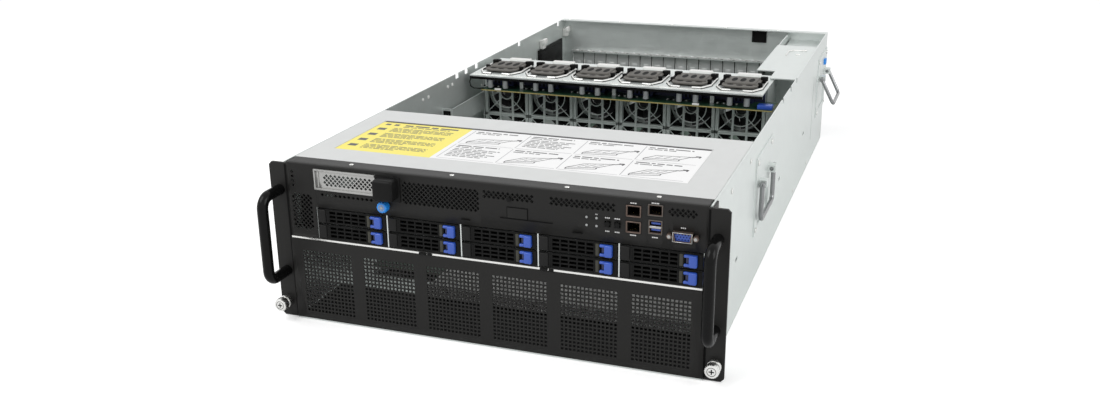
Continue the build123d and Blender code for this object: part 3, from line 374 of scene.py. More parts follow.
def calc(tree, operation, a, b, c=None):
    """Math node on two or three values or sockets."""
    node = tree.nodes.new("ShaderNodeMath")
    node.operation = operation
    for socket, value in zip(node.inputs, (a, b, c)):
        if isinstance(value, NodeSocket):
            tree.links.new(value, socket)
        elif value is not None:
            socket.default_value = value
    return node.outputs[0]


def noise(group, vector, scale, detail):
    """Noise over a vector, centred on zero."""
    node = group.nodes.new("ShaderNodeTexNoise")
    node.inputs["Detail"].default_value = detail
    group.links.new(vector, node.inputs["Vector"])
    group.links.new(scale, node.inputs["Scale"])
    return calc(group, "SUBTRACT", node.outputs["Fac"], 0.5)


def tint(group, base, shade):
    """Colour made lighter or darker by a value round zero."""
    node = group.nodes.new("ShaderNodeVectorMath")
    node.operation = "SCALE"
    group.links.new(base, node.inputs[0])
    group.links.new(calc(group, "ADD", shade, 1.0), node.inputs["Scale"])
    return node.outputs[0]


def make_grain_group():
    """Moulded or sprayed surface: fine grain, uneven gloss and soft patches of colour."""
    group, where, given, out = new_group("Surface Grain", (
        ("Colour", (0.5, 0.5, 0.5, 1)), ("Roughness", 0.5), ("Patch Scale", 14.0), ("Patch Depth", 0.1),
        ("Grain Scale", 900.0), ("Gloss Depth", 0.1)))
    patch = noise(group, where, given["Patch Scale"], 3)
    grain = noise(group, where, given["Grain Scale"], 2)
    shade = calc(group, "MULTIPLY", patch, given["Patch Depth"])
    group.links.new(tint(group, given["Colour"], calc(group, "MULTIPLY_ADD", grain, 0.12, shade)), out["Colour"])
    gloss = calc(group, "ADD", patch, grain)
    group.links.new(calc(group, "MULTIPLY_ADD", gloss, given["Gloss Depth"], given["Roughness"]), out["Roughness"])
    group.links.new(grain, out["Height"])


def make_rolled_group():
    """Rolled sheet: streaks along one direction and the faint spangle of a zinc coat."""
    group, where, given, out = new_group("Rolled Sheet", (
        ("Colour", (0.7, 0.7, 0.7, 1)), ("Roughness", 0.4), ("Spangle Scale", 90.0), ("Spangle Depth", 0.05),
        ("Streak Scale", 30.0), ("Streak Depth", 0.08)))
    cells = group.nodes.new("ShaderNodeTexVoronoi")
    group.links.new(where, cells.inputs["Vector"])
    group.links.new(given["Spangle Scale"], cells.inputs["Scale"])
    grey = group.nodes.new("ShaderNodeRGBToBW")
    group.links.new(cells.outputs["Color"], grey.inputs[0])
    spangle = calc(group, "SUBTRACT", grey.outputs[0], 0.5)
    stretch = group.nodes.new("ShaderNodeMapping")
    stretch.inputs["Scale"].default_value = (1.0, 30.0, 30.0)
    group.links.new(where, stretch.inputs["Vector"])
    streak = noise(group, stretch.outputs[0], given["Streak Scale"], 4)
    shade = calc(group, "MULTIPLY", spangle, given["Spangle Depth"])
    shade = calc(group, "MULTIPLY_ADD", streak, given["Streak Depth"], shade)
    group.links.new(tint(group, given["Colour"], shade), out["Colour"])
    rough = calc(group, "MULTIPLY_ADD", streak, 0.22, given["Roughness"])
    group.links.new(calc(group, "MULTIPLY_ADD", spangle, 0.08, rough), out["Roughness"])
    group.links.new(streak, out["Height"])


def finish(name, base, roughness, metallic=0.0, coat_weight=0.0, group="Surface Grain", bump=0.15, specular=0.5,
           **values):
    """Material of one finish: a shader with varied colour, gloss and relief from a node group."""
    material = bpy.data.materials.new(name)
    material.use_nodes = True
    tree = material.node_tree
    shader = tree.nodes["Principled BSDF"]
    for label, value in (("Metallic", metallic), ("Coat Weight", coat_weight), ("Coat Roughness", 0.12),
                         ("Specular IOR Level", specular)):
        shader.inputs[label].default_value = value
    effect = tree.nodes.new("ShaderNodeGroup")
    effect.node_tree = bpy.data.node_groups[group]
    effect.inputs["Colour"].default_value = (*base, 1)
    effect.inputs["Roughness"].default_value = roughness
    for label, value in values.items():
        effect.inputs[label.replace("_", " ").title()].default_value = value
    relief = tree.nodes.new("ShaderNodeBump")
    relief.inputs["Strength"].default_value = bump
    relief.inputs["Distance"].default_value = 0.0004
    for start, output, end, given in ((effect, "Colour", shader, "Base Color"), (relief, "Normal", shader, "Normal"),
                                      (effect, "Roughness", shader, "Roughness"), (effect, "Height", relief, "Height")):
        tree.links.new(start.outputs[output], end.inputs[given])


class MakeFinishes(Operator):
    """Make every finish and give it to the solids that are shown as they are"""
    bl_idname = "server.finishes"
    bl_label = "Finishes"

    def execute(self, context):
        look = context.scene.server_colours
        make_grain_group()
        make_rolled_group()
        finish("sheet_steel", look.steel, 0.40, metallic=0.72, group="Rolled Sheet", bump=0.03)
        finish("cover_steel", look.cover, 0.46, metallic=0.55, group="Rolled Sheet", bump=0.03, streak_depth=0.04)
        finish("plated_steel", look.bright, 0.24, metallic=1.0, group="Rolled Sheet", bump=0.03, spangle_depth=0.02)
        # Greyer steel of the brackets and rims, also the darker plate over the slot covers' ledge as painted shade.
        finish("bracket_steel_and_ledge_shade", (0.42, 0.42, 0.41), 0.34, metallic=0.8, group="Rolled Sheet", bump=0.03)
        finish("chrome_wire", (0.27, 0.275, 0.28), 0.12, metallic=1.0, bump=0.02, gloss_depth=0.08)
        finish("panel_paint", look.paint, 0.46, bump=0.22, specular=0.20, grain_scale=1500)
        finish("grip_paint", look.gloss, 0.17, bump=0.03, specular=0.14, gloss_depth=0.05)
        finish("moulded_black", look.plastic, 0.42, bump=0.14, specular=0.11, grain_scale=1300)
        finish("tray_plastic", [1.8 * c for c in look.plastic], 0.40, bump=0.12, specular=0.14, grain_scale=1300)
        finish("guard_plastic", look.guard, 0.48, bump=0.12, grain_scale=1100)
        finish("rotor_plastic", (0.016, 0.016, 0.017), 0.32, bump=0.08)
        finish("cap_plastic", look.cap, 0.58, bump=0.25, grain_scale=1000, patch_depth=0.25)
        finish("latch_plastic", look.latch, 0.34, bump=0.08, coat_weight=0.15)
        finish("knob_plastic", look.knob, 0.30, bump=0.08, coat_weight=0.2)
        finish("board_lacquer", look.board, 0.30, bump=0.10, grain_scale=500, patch_depth=0.5)
        finish("board_edge", look.edge, 0.62, bump=0.15, grain_scale=1800, patch_depth=0.3)
        finish("gold_contact", (0.80, 0.58, 0.24), 0.26, metallic=1.0, bump=0.02)
        finish("can_sleeve", (0.50, 0.52, 0.53), 0.36, metallic=0.35, bump=0.04)
        # Dark navy of the plugs, also used as painted shade on the recessed left part of each tray latch.
        finish("navy_plug_and_latch_shade", (0.014, 0.019, 0.065), 0.40, bump=0.08)
        finish("nylon_white", (0.80, 0.80, 0.78), 0.50, bump=0.10)
        finish("label_yellow", look.yellow, 0.40, bump=0.04, patch_depth=0.04)
        finish("label_white", (0.86, 0.86, 0.86), 0.38, bump=0.04, patch_depth=0.03)
        # Ink of the label, also used for the painted shadow line along the groove behind it.
        finish("label_ink_and_groove_shadow", (0.06, 0.06, 0.065), 0.42, bump=0.04)
        finish("label_grey", (0.42, 0.42, 0.43), 0.42, bump=0.04)
        finish("print_white", (0.62, 0.62, 0.62), 0.45, bump=0.05)
        finish("light_pipe", (0.046, 0.045, 0.034), 0.30, bump=0.06, specular=0.3)
        finish("lamp_lens", (0.32, 0.33, 0.33), 0.22, bump=0.05, coat_weight=0.5)
        finish("sink_alloy", (0.66, 0.67, 0.69), 0.34, metallic=0.9, group="Rolled Sheet", bump=0.04)
        # Black of liners, clips and marks, also used as painted shade: dark sheets and strips put where the case only
        # lies in shadow.
        finish("black_liner_and_painted_shade", (0.004, 0.004, 0.004), 0.60, bump=0.10, specular=0.08)
        finish("nickel_rim", (0.17, 0.125, 0.105), 0.36, metallic=0.7, bump=0.03, specular=0.2)
        dress("sheet_steel", "base_tub", "rear_panel", "fan_bridge", "drive_cage", "handle_plates", *SUPPLIES)
        dress("cover_steel", "front_cover")
        dress("panel_paint", "rack_ears")
        dress("nickel_rim", "port_shells")
        dress("latch_plastic", "port_inserts")
        dress("moulded_black", *(f"drive_tray_{n}" for n in TRAYS))
        return {"FINISHED"}


class BuildFrontPanel(Operator):
    """Upper front panel: perforated sheet with a rounded lip, pull tag, bright seam and dark sheets of painted shade
    behind the holes
    """
    bl_idname = "server.front_panel"
    bl_label = "Front Panel"

    def execute(self, context):
        size = context.scene.server_sizes
        low, high = span("front_panel")
        bend, lip, slant = 1.4, 20, 0.71
        top = high.z - bend
        bm = bmesh.new()
        sheet(bm, (low.x, high.x), 0, (low.z, top))
        opening(bm, (-188.0, 218.4), (94.8, 128.8))
        opening(bm, (-185.0, -121.0), (151.5, 167.7))
        for x, z in JACKS:
            opening(bm, about(x, 7), about(z, 5.5))
        opening(bm, about(USB_X, 6.5), about(USB_Z, 6.8))
        opening(bm, about(DISPLAY_X, 9.1), about(DISPLAY_Z, 4.7))
        for x in BUTTON_X.values():
            opening(bm, about(x, 2.9), about(BUTTON_Z, 2.9))
        for across, up in (((-218, -192), (102, 142.5)), ((-89, -4.5), (141.8, 168.4)), ((-2.7, 53.5), (156.8, 169.6)),
                           ((66, 135), (157, 170)), ((183, 211.5), (160, 171)), ((-217.5, -211.5), (146, 169)),
                           ((-186, -118), (141, 145.2))):
            perforate(bm, across, up, mm(size.vent_pitch) * slant, mm(size.vent_bar) * slant, slant=True)
        rim = [e for e in bm.edges if all(v.co.z > top - TOUCH for v in e.verts)]
        spun = bmesh.ops.spin(bm, geom=[*rim, *dict.fromkeys(v for e in rim for v in e.verts)], cent=(0, bend, top),
                              axis=RIGHT, angle=-pi / 2, steps=5)
        fold(bm, only(BMEdge, spun["geom_last"]), lip - bend)
        place("front_panel_sheet", bm, ("panel_paint",), replaces=("front_panel",), wall=1.5)

        bm = bmesh.new()
        # In the dark finish, the film on the floor behind the grille, the sheet over the drive cage and the sheet
        # behind the left vents are painted shade seen through the holes. The dark outline and line at the pull tag and
        # the strips down both side edges are in the same finish.
        blocks(bm, ((24.7, 45.3), (-0.8, 0), (141.9, 152.3), 2, 0.4), ((24, 46), (-0.3, 0), (141.2, 153), 1),
               ((17, 71), (-0.3, 0), (140.4, 141.2), 1), ((-188, 218), (4, 112), (129, 129.4), 1),
               ((-221, 221), (3, 88), (1.5, 1.8), 1), ((-220, -190.5), (20, 20.4), (96, 172), 1))
        rod(bm, 26.5, (-0.4, -1.8), 160.5, 2.4, 0, 16, 0.5)
        for x in (-20.0, 96.0):
            block(bm, about(x, 5), (-1.1, 0), (133.4, 134.6), 0, 0.3)
        for side in SIDES:
            block(bm, (side * 221.3, side * 223.2), (-0.2, 0.3), (3, 172), 1)
        place("pull_tag_and_painted_shade", bm, ("moulded_black", "black_liner_and_painted_shade", "panel_paint"))

        bm = bmesh.new()
        block(bm, (-220.6, 220.6), (-1.3, 2), (91.7, 94.2), 0, 0.4)
        for x in (-150, -38, 82, 172):
            rod(bm, x, 11, (174.8, 175.6), 2.4, 0, 20, 0.4)
        place("seam_strip", bm, ("plated_steel",))

        bm = bmesh.new()
        for x in (-68, 62):
            blocks(bm, (about(x, 4), (-3.4, -1), (91.9, 94.6), 0, 0.8),
                   ((x + 5, x + 10), (-3, -1), (91.9, 94.4), 0, 0.6))
        place("seam_clips", bm, ("moulded_black",))
        return {"FINISHED"}


class BuildIntakeGrille(Operator):
    """Lower front panel: folded pan with six windows of square holes"""
    bl_idname = "server.intake_grille"
    bl_label = "Intake Grille"

    def execute(self, context):
        size = context.scene.server_sizes
        low, high = span("intake_grille")
        bm = bmesh.new()
        sheet(bm, (low.x, high.x), low.y, (low.z, high.z))
        for column in range(6):
            perforate(bm, about(71.8 * (column - 2.5), 29.4), (9.0, 80.4), mm(size.hole_pitch), mm(size.hole_bar))
        folds = ((UP, high.z), (RIGHT, low.x), (RIGHT, high.x))
        fold(bm, [e for e in bm.edges if e.is_boundary and any(
            all(abs(v.co.dot(axis) - end) < TOUCH for v in e.verts) for axis, end in folds)], 10)
        place("intake_grille_sheet", bm, ("panel_paint",), replaces=("intake_grille",), wall=1.2)

        bm = bmesh.new()
        blocks(bm, ((-112, 206), (92, 192), (12, 13), 0, 0.3, 1), ((-112, 206), (91, 92), (1.5, 13), 0, 0.3, 1))
        place("front_tray", bm, ("nylon_white",))
        return {"FINISHED"}


class BuildGrips(Operator):
    """Bent pull handles on the ears and the captive rack screws"""
    bl_idname = "server.grips"
    bl_label = "Pull Handles and Rack Screws"

    def execute(self, context):
        bm = bmesh.new()
        for side in SIDES:
            bent_bar(bm, (side * 230.5, 0.5, 144), (0, -1, 0), 5.75,
                     ((22.5, 12, pi / 2), (67, 12, pi / 2), (22.5, 0, 0)), 24, 9)
        place("pull_handles", bm, ("grip_paint",), replaces=("front_handles",), crease=50)

        for side, word in zip(SIDES, ("left", "right")):
            x, z = side * 232.55, 18.5
            bm = bmesh.new()
            for y, radius, sides, edge in (((14, 0), 2.45, 16, 0.4), ((0, -3.5), 4.3, 20, 0.4),
                                           ((-3.5, -8.2), 7.0, 40, 0.5), ((-8.2, -9.2), 6.1, 32, 0.0),
                                           ((-9.2, -17.4), 6.8, 40, 0.9)):
                rod(bm, x, y, z, radius, 0, sides, edge)
            knurl(bm, x, (-9.8, -16.4), z, 6.7, 20, 0.45, 6)
            for wide, tall in ((2.6, 0.6), (0.6, 2.6)):
                block(bm, about(x, wide), (-17.46, -17.0), about(z, tall), 1)
            hoop(bm, x, -17.35, z, 4.3, 0.28, 1)
            place(f"rack_screw_{word}_knurled", bm, ("plated_steel", "black_liner_and_painted_shade"), f"rack_screw_{word}",
                  (f"rack_screw_{word}",))
        return {"FINISHED"}


class BuildTrays(Operator):
    """Levers, ribs and light pipes of the drive trays, and their blue latches"""
    bl_idname = "server.trays"
    bl_label = "Drive Trays"

    def execute(self, context):
        for n in TRAYS:
            low, high = span(f"drive_tray_{n}")
            x, z = low.x, low.z
            middle = (low.x + high.x) / 2
            bm = bmesh.new()
            for k in range(6):
                block(bm, about(x + 13 + 8.6 * k, 0.8), (-0.4, 6), (z + 1.2, z + 14.2), 1, 0.25, 1)
            for k in range(4):
                block(bm, (x + 12.4, x + 56.6), (-0.3, 5), about(z + 7.7 + 4.3 * (k - 1.5), 0.75), 1, 0.25, 1)
            blocks(bm, ((x + 0.5, x + 9.6), (-1.5, 1), (z + 0.7, z + 14.7), 0, 0.9, 3),
                   ((x + 9.6, x + 12.4), (-0.5, 1), (z + 1.2, z + 14.2), 1, 0.4),
                   ((x + 57.2, x + 60.6), (-0.5, 1), (z + 1.6, z + 13.8), 2, 0.4),
                   ((x + 75, x + 79), (-0.5, 1), (z + 0.9, z + 14.5), 1, 0.4),
                   (about(middle, 34.6), (12.6, 103.6), (z + 10.4, z + 10.8), 3, 0.15, 1),
                   (about(middle, 30), (18, 76), (z + 10.7, z + 10.9), 4))
            place(f"tray_face_{n}", bm, ("tray_plastic", "moulded_black", "light_pipe", "sink_alloy", "label_white"),
                  f"drive_tray_{n}")

            low, high = span(f"tray_latch_{n}")
            bm = bmesh.new()
            # The recessed left part, in the dark navy finish, is painted shade where the latch face turns inward; the
            # face and prongs stay blue.
            blocks(bm, ((low.x + 4.2, high.x), (low.y, high.y), (low.z, high.z), 0, 1.3, 3),
                   ((low.x + 0.8, low.x + 6), (low.y + 3.4, high.y), (low.z + 0.6, high.z - 0.6), 1, 1.0, 3))
            for z in ((high.z - 2.8, high.z), (low.z, low.z + 2.8)):
                block(bm, (low.x - 0.8, low.x + 6), (low.y + 1.4, low.y + 5), z, 0, 1.0, 3)
            place(f"latch_{n}", bm, ("latch_plastic", "navy_plug_and_latch_shade"), f"tray_latch_{n}",
                  (f"tray_latch_{n}",))
        return {"FINISHED"}


class BuildSockets(Operator):
    """Liners and contacts of the sockets, lamps, printed marks and the two buttons"""
    bl_idname = "server.sockets"
    bl_label = "Sockets, Lamps and Buttons"

    def execute(self, context):
        bm = bmesh.new()
        for x, z in JACKS:
            block(bm, about(x, 5.95), (16.4, 16.9), about(z, 4.45))
            surround(bm, x, (0.8, 16.9), z, (5.95, 5.55, 4.45), (4.45, 4.1, 5.9))
            for side in SIDES:
                block(bm, (x + side * 5.6, x + side * 3.6), (0.8, 3), (z + 3.3, z + 4.45))
            for k in range(8):
                rod(bm, x + 1.02 * (k - 3.5), (3, 15), (z - 3.6, z - 1.2), 0.22, 1, 6)
        for row in range(3):
            for k in range(5):
                x = 191.9 + 2.9 * k + (1.4 if row == 1 else 0)
                if x < 205.4 - (1.0 if row == 2 else 0):
                    rod(bm, x, (-2.3, -2.65), 145.6 - 2.4 * row, 0.55, 0, 10)
        place("socket_liners", bm, ("black_liner_and_painted_shade", "gold_contact"))

        bm = bmesh.new()
        for x, z, w, h in (*((*jack, 7, 5.5) for jack in JACKS), (USB_X, USB_Z, 6.5, 6.8)):
            paint = 1 if x < 160 else 2
            surround(bm, x, (-0.6, 1), z, (w - 0.4, w + 0.2, h), (h - 0.4, h + 0.2, w), paint, 0.15, 1)
        block(bm, about(USB_X, 5.7), (-0.5, 1), about(USB_Z, 1.1), 0, 0.2, 1)
        surround(bm, DISPLAY_X, (-5.2, -4.2), DISPLAY_Z, (8.7, 9.4, 4.7), (4.2, 4.8, 9.4), 0, 0.2, 1)
        for side in SIDES:
            rod(bm, DISPLAY_X + side * 12.5, (-4.5, -5.6), DISPLAY_Z, 1.7, 0, 14, 0.3)
        place("socket_rims", bm, ("bracket_steel_and_ledge_shade", "nickel_rim", "cap_plastic"))

        bm = bmesh.new()
        for x in (105.2, 115.0):
            for z in (151.7, 143.7):
                rod(bm, x, (0, -1.0), z, 1.25, 0, 16, 0.45)
        for x, z, w in ((150.7, 170.2, 4.2), (150.7, 138.6, 4.2), (171.7, 138.8, 4.0), (198.3, 151.2, 3.4),
                        (171.5, 172.3, 5.0), (125.7, 152.9, 3.4), (135.3, 152.9, 3.8), (125.7, 139.6, 3.0),
                        (135.3, 139.6, 3.4), (115.0, 155.2, 1.6)):
            for k in range(3):
                left = x + w * (k / 2 - 0.75)
                block(bm, (left, left + w / 2 - 0.4), (-0.12, 0), about(z, 0.55), 1)
        place("lamps_and_marks", bm, ("lamp_lens", "print_white"))

        for button, x in BUTTON_X.items():
            bm = bmesh.new()
            rod(bm, x, (7.8, -1.6), BUTTON_Z, 2.5, 0, 24, 0.4)
            place(f"{button}_cap", bm, ("moulded_black",), button, (button,))
        return {"FINISHED"}


class BuildBrackets(Operator):
    """Vented front bracket with its retainer and knob, and the rear slot covers"""
    bl_idname = "server.brackets"
    bl_label = "Brackets and Retainer"

    def execute(self, context):
        bm = bmesh.new()
        sheet(bm, (-188, -118), -1, (148.5, 170.7))
        perforate(bm, (-178.5, -118.5), (152.6, 166.6), 3.5, 1.2, slant=True)
        place("front_bracket", bm, ("bracket_steel_and_ledge_shade",), replaces=("slot_covers",), wall=0.9)

        bm = bmesh.new()
        for z in ((148.4, 150.8), (168.6, 170.8)):
            block(bm, (-188, -118), (-1.9, -0.4), z, 0, 0.45)
        blocks(bm, ((-188.2, -186.4), (-1.7, -0.4), (148.4, 170.8), 0, 0.4),
               ((-183.4, -182.2), (-1.5, -0.6), (151, 168.4), 0, 0.3),
               ((-119, -113.4), (-1.2, 0), (143.6, 150), 0, 0.4))
        place("front_bracket_rims", bm, ("bracket_steel_and_ledge_shade",))

        bm = bmesh.new()
        # Dark strips between the covers are painted shade in the gaps, and small dark marks lie on the ledge above
        # them.
        for column in range(17):
            x = -197.2 + 20.32 * column
            blocks(bm, (about(x, 9.3), (877.5, 878.4), (14.5, 120.5), 0, 0.2, 1),
                   (about(x, 4.2), (876.2, 877.6), (91, 104), 0, 0.65, 3),
                   ((x - 9.3, x - 8.5), (875.5, 877.6), (16, 119), 0, 0.3, 1),
                   ((x + 9.5, x + 10.8), (877.3, 877.9), (14.5, 120.4), 1),
                   ((x + 8, x + 12), (868, 870.5), (122.2, 122.4), 1))
            rod(bm, x, 872.5, (122, 123.8), 2.6, 0, 16, 0.5)
        # Darker steel plate over the ledge: painted shade on its top.
        block(bm, (-207, 138), (866.7, 878.4), (122, 122.3), 2)
        place("slot_covers_and_painted_shade", bm, ("cover_steel", "black_liner_and_painted_shade", "bracket_steel_and_ledge_shade"),
              replaces=("slot_covers",))

        low, high = span("bracket_retainer")
        bm = bmesh.new()
        blocks(bm, ((low.x, high.x), (low.y, high.y), (low.z + 1.5, high.z), 0, 3.4, 4),
               ((low.x - 2.6, high.x + 2.2), (-1.8, 0), (low.z - 2, high.z + 0.8), 0, 0.7))
        rod(bm, high.x - 5, (-1, -3.4), high.z - 0.6, 2.4, 0, 16, 0.5)
        place("retainer_block", bm, ("moulded_black",), replaces=("bracket_retainer",))

        x, z = -108.0, 139.4
        bm = bmesh.new()
        rod(bm, x, (7, 0), z, 1.95, 1)
        rod(bm, x, (0, -8.6), z, 5.4, 0, 36, 1.1)
        knurl(bm, x, (-1, -7.4), z, 5.25, 12, 0.75, 8, 0.25)
        hoop(bm, x, -8.5, z, 3.0, 0.4, 2, 24)
        rod(bm, x, (-8.2, -9.0), z, 1.9, 2, 20, 0.3)
        place("retainer_knob_grip", bm, ("knob_plastic", "plated_steel", "lamp_lens"), "retainer_knob",
              ("retainer_knob",))
        return {"FINISHED"}


def stroke(bm, start, end, width, paint=INK_AND_GROOVE_SHADOW):
    """Thin printed line between two points of the label."""
    start, end = Vector((*start, PRINT_Z)), Vector((*end, PRINT_Z))
    run = end - start
    verts = bmesh.ops.create_grid(bm, x_segments=1, y_segments=1, size=0.5, matrix=Matrix.LocRotScale(
        (start + end) / 2, Euler((0, 0, -Vector((1, 0)).angle_signed(run.xy))),
        Vector((run.length, width, 1))))["verts"]
    coat(verts, paint)


def words(bm, x, y, width, height, seed):
    """Row of short printed bars of uneven length."""
    left, step = x, seed
    while left < x + width:
        step = (step * 7 + 3) % 11
        run = min(height * (1.4 + 0.42 * step), x + width - left)
        stroke(bm, (left, y), (left + run, y), height)
        left += run + height * 0.7


def diagram(bm, x, y, lean, wide, tall):
    """Outline of a slanting box with three slits and an arrow."""
    a, b = Vector((x + 6, y + 8)), Vector((x + 6 + wide, y + 8 + lean * 0.5))
    up, drop = Vector((lean, tall)), Vector((0, -5))
    for near, far in ((a, b), (b, b + up), (a + up, b + up), (a, a + up), (a, a + drop), (b, b + drop),
                      (a + drop, b + drop)):
        stroke(bm, near, far, 1.3)
    for k in range(3):
        slit = a.lerp(b, 0.25 + 0.25 * k)
        stroke(bm, slit + up * 0.2, slit + up * 0.8, 1.0)
    tip = b + up + Vector((9, 4))
    stroke(bm, tip - Vector((9, 5)), tip, 2.2)
    stroke(bm, tip, tip - Vector((5.5, 0)), 1.8)
    stroke(bm, tip, tip - Vector((1, 5.5)), 1.8)


class BuildLabel(Operator):
    """Sheet label on the front cover, with generic diagrams, rows of plain bars and a painted shadow line along the
    groove behind it
    """
    bl_idname = "server.label"
    bl_label = "Cover Label"

    def execute(self, context):
        thick = (LABEL_Z, LABEL_Z + 0.22)
        bm = bmesh.new()
        # The last block, in the ink finish, is a painted shadow line along the groove at the label's rear edge.
        blocks(bm, ((-197.4, -86), (58.6, 171.4), thick, 0, 0.08, 1), ((-86, 187.4), (58.6, 171.4), thick, 1, 0.08, 1),
               ((-196, 186), (173, 175.9), (174.2, 174.95), INK_AND_GROOVE_SHADOW))
        for x in (-187.5, -176.5):
            stroke(bm, (x - 3, 163), (x + 3, 163), 6)
        words(bm, -166, 163.5, 66, 4.4, 3)
        words(bm, -166, 157.5, 58, 2.2, 5)
        for row in range(4):
            y = 144 - 22 * row
            stroke(bm, (-191, y), (-181, y), 8)
            for line in range(4):
                words(bm, -174, y + 6 - 4.2 * line, 74 if line < 3 else 40, 1.9, row + 2 * line)
        for column in range(4):
            for row in range(2):
                x, y = -78 + 66 * column, 118 - 54 * row
                stroke(bm, (x, y - 1), (x + 62, y - 1), 0.9, FAINT_INK)
                stroke(bm, (x - 2, y), (x - 2, y + 50), 0.9, FAINT_INK)
                words(bm, x + 2, y + 46, 48, 2.8, column + row)
                words(bm, x + 2, y + 40.5, 30, 2.2, column + 3 * row)
                if (column + row) % 4 != 1:
                    diagram(bm, x, y, *((14, 30, 16) if row else (10, 36, 12)))
                    continue
                for line in range(6):
                    words(bm, x + 3, y + 34 - 5 * line, 52 - 6 * (line % 3), 2.0, line + column)
        place("cover_label", bm, ("label_yellow", "label_white", "label_ink_and_groove_shadow", "label_grey"), "front_cover")
        return {"FINISHED"}


def bored_frame(bm, x, y, z, width, height, paint):
    """Square frame round a fan's bore, between two depths."""
    made = bmesh.ops.create_circle(bm, segments=32, radius=FAN_BORE, matrix=Matrix.LocRotScale(
        Vector((x, y[0], z)), Euler((pi / 2, 0, 0)), None))["verts"]
    grown = bmesh.ops.extrude_edge_only(bm, edges=list(dict.fromkeys(e for v in made for e in v.link_edges)))["geom"]
    for v in only(BMVert, grown):
        out = Vector((v.co.x - x, v.co.z - z))
        out /= max(abs(out.x), abs(out.y))
        v.co.x, v.co.z = x + out.x * width / 2, z + out.y * height / 2
    deep = bmesh.ops.extrude_face_region(bm, geom=only(BMFace, grown))["geom"]
    bmesh.ops.translate(bm, vec=(0, y[1] - y[0], 0), verts=only(BMVert, deep))
    coat(made, paint)


def spot(bm, x, y, z, wide, deep):
    """Flat oval on a lifting cap, in its second finish."""
    coat(bmesh.ops.create_circle(bm, cap_ends=True, segments=20, radius=1, matrix=Matrix.LocRotScale(
        Vector((x, y, z)), None, Vector((wide, deep, 1))))["verts"], 1)


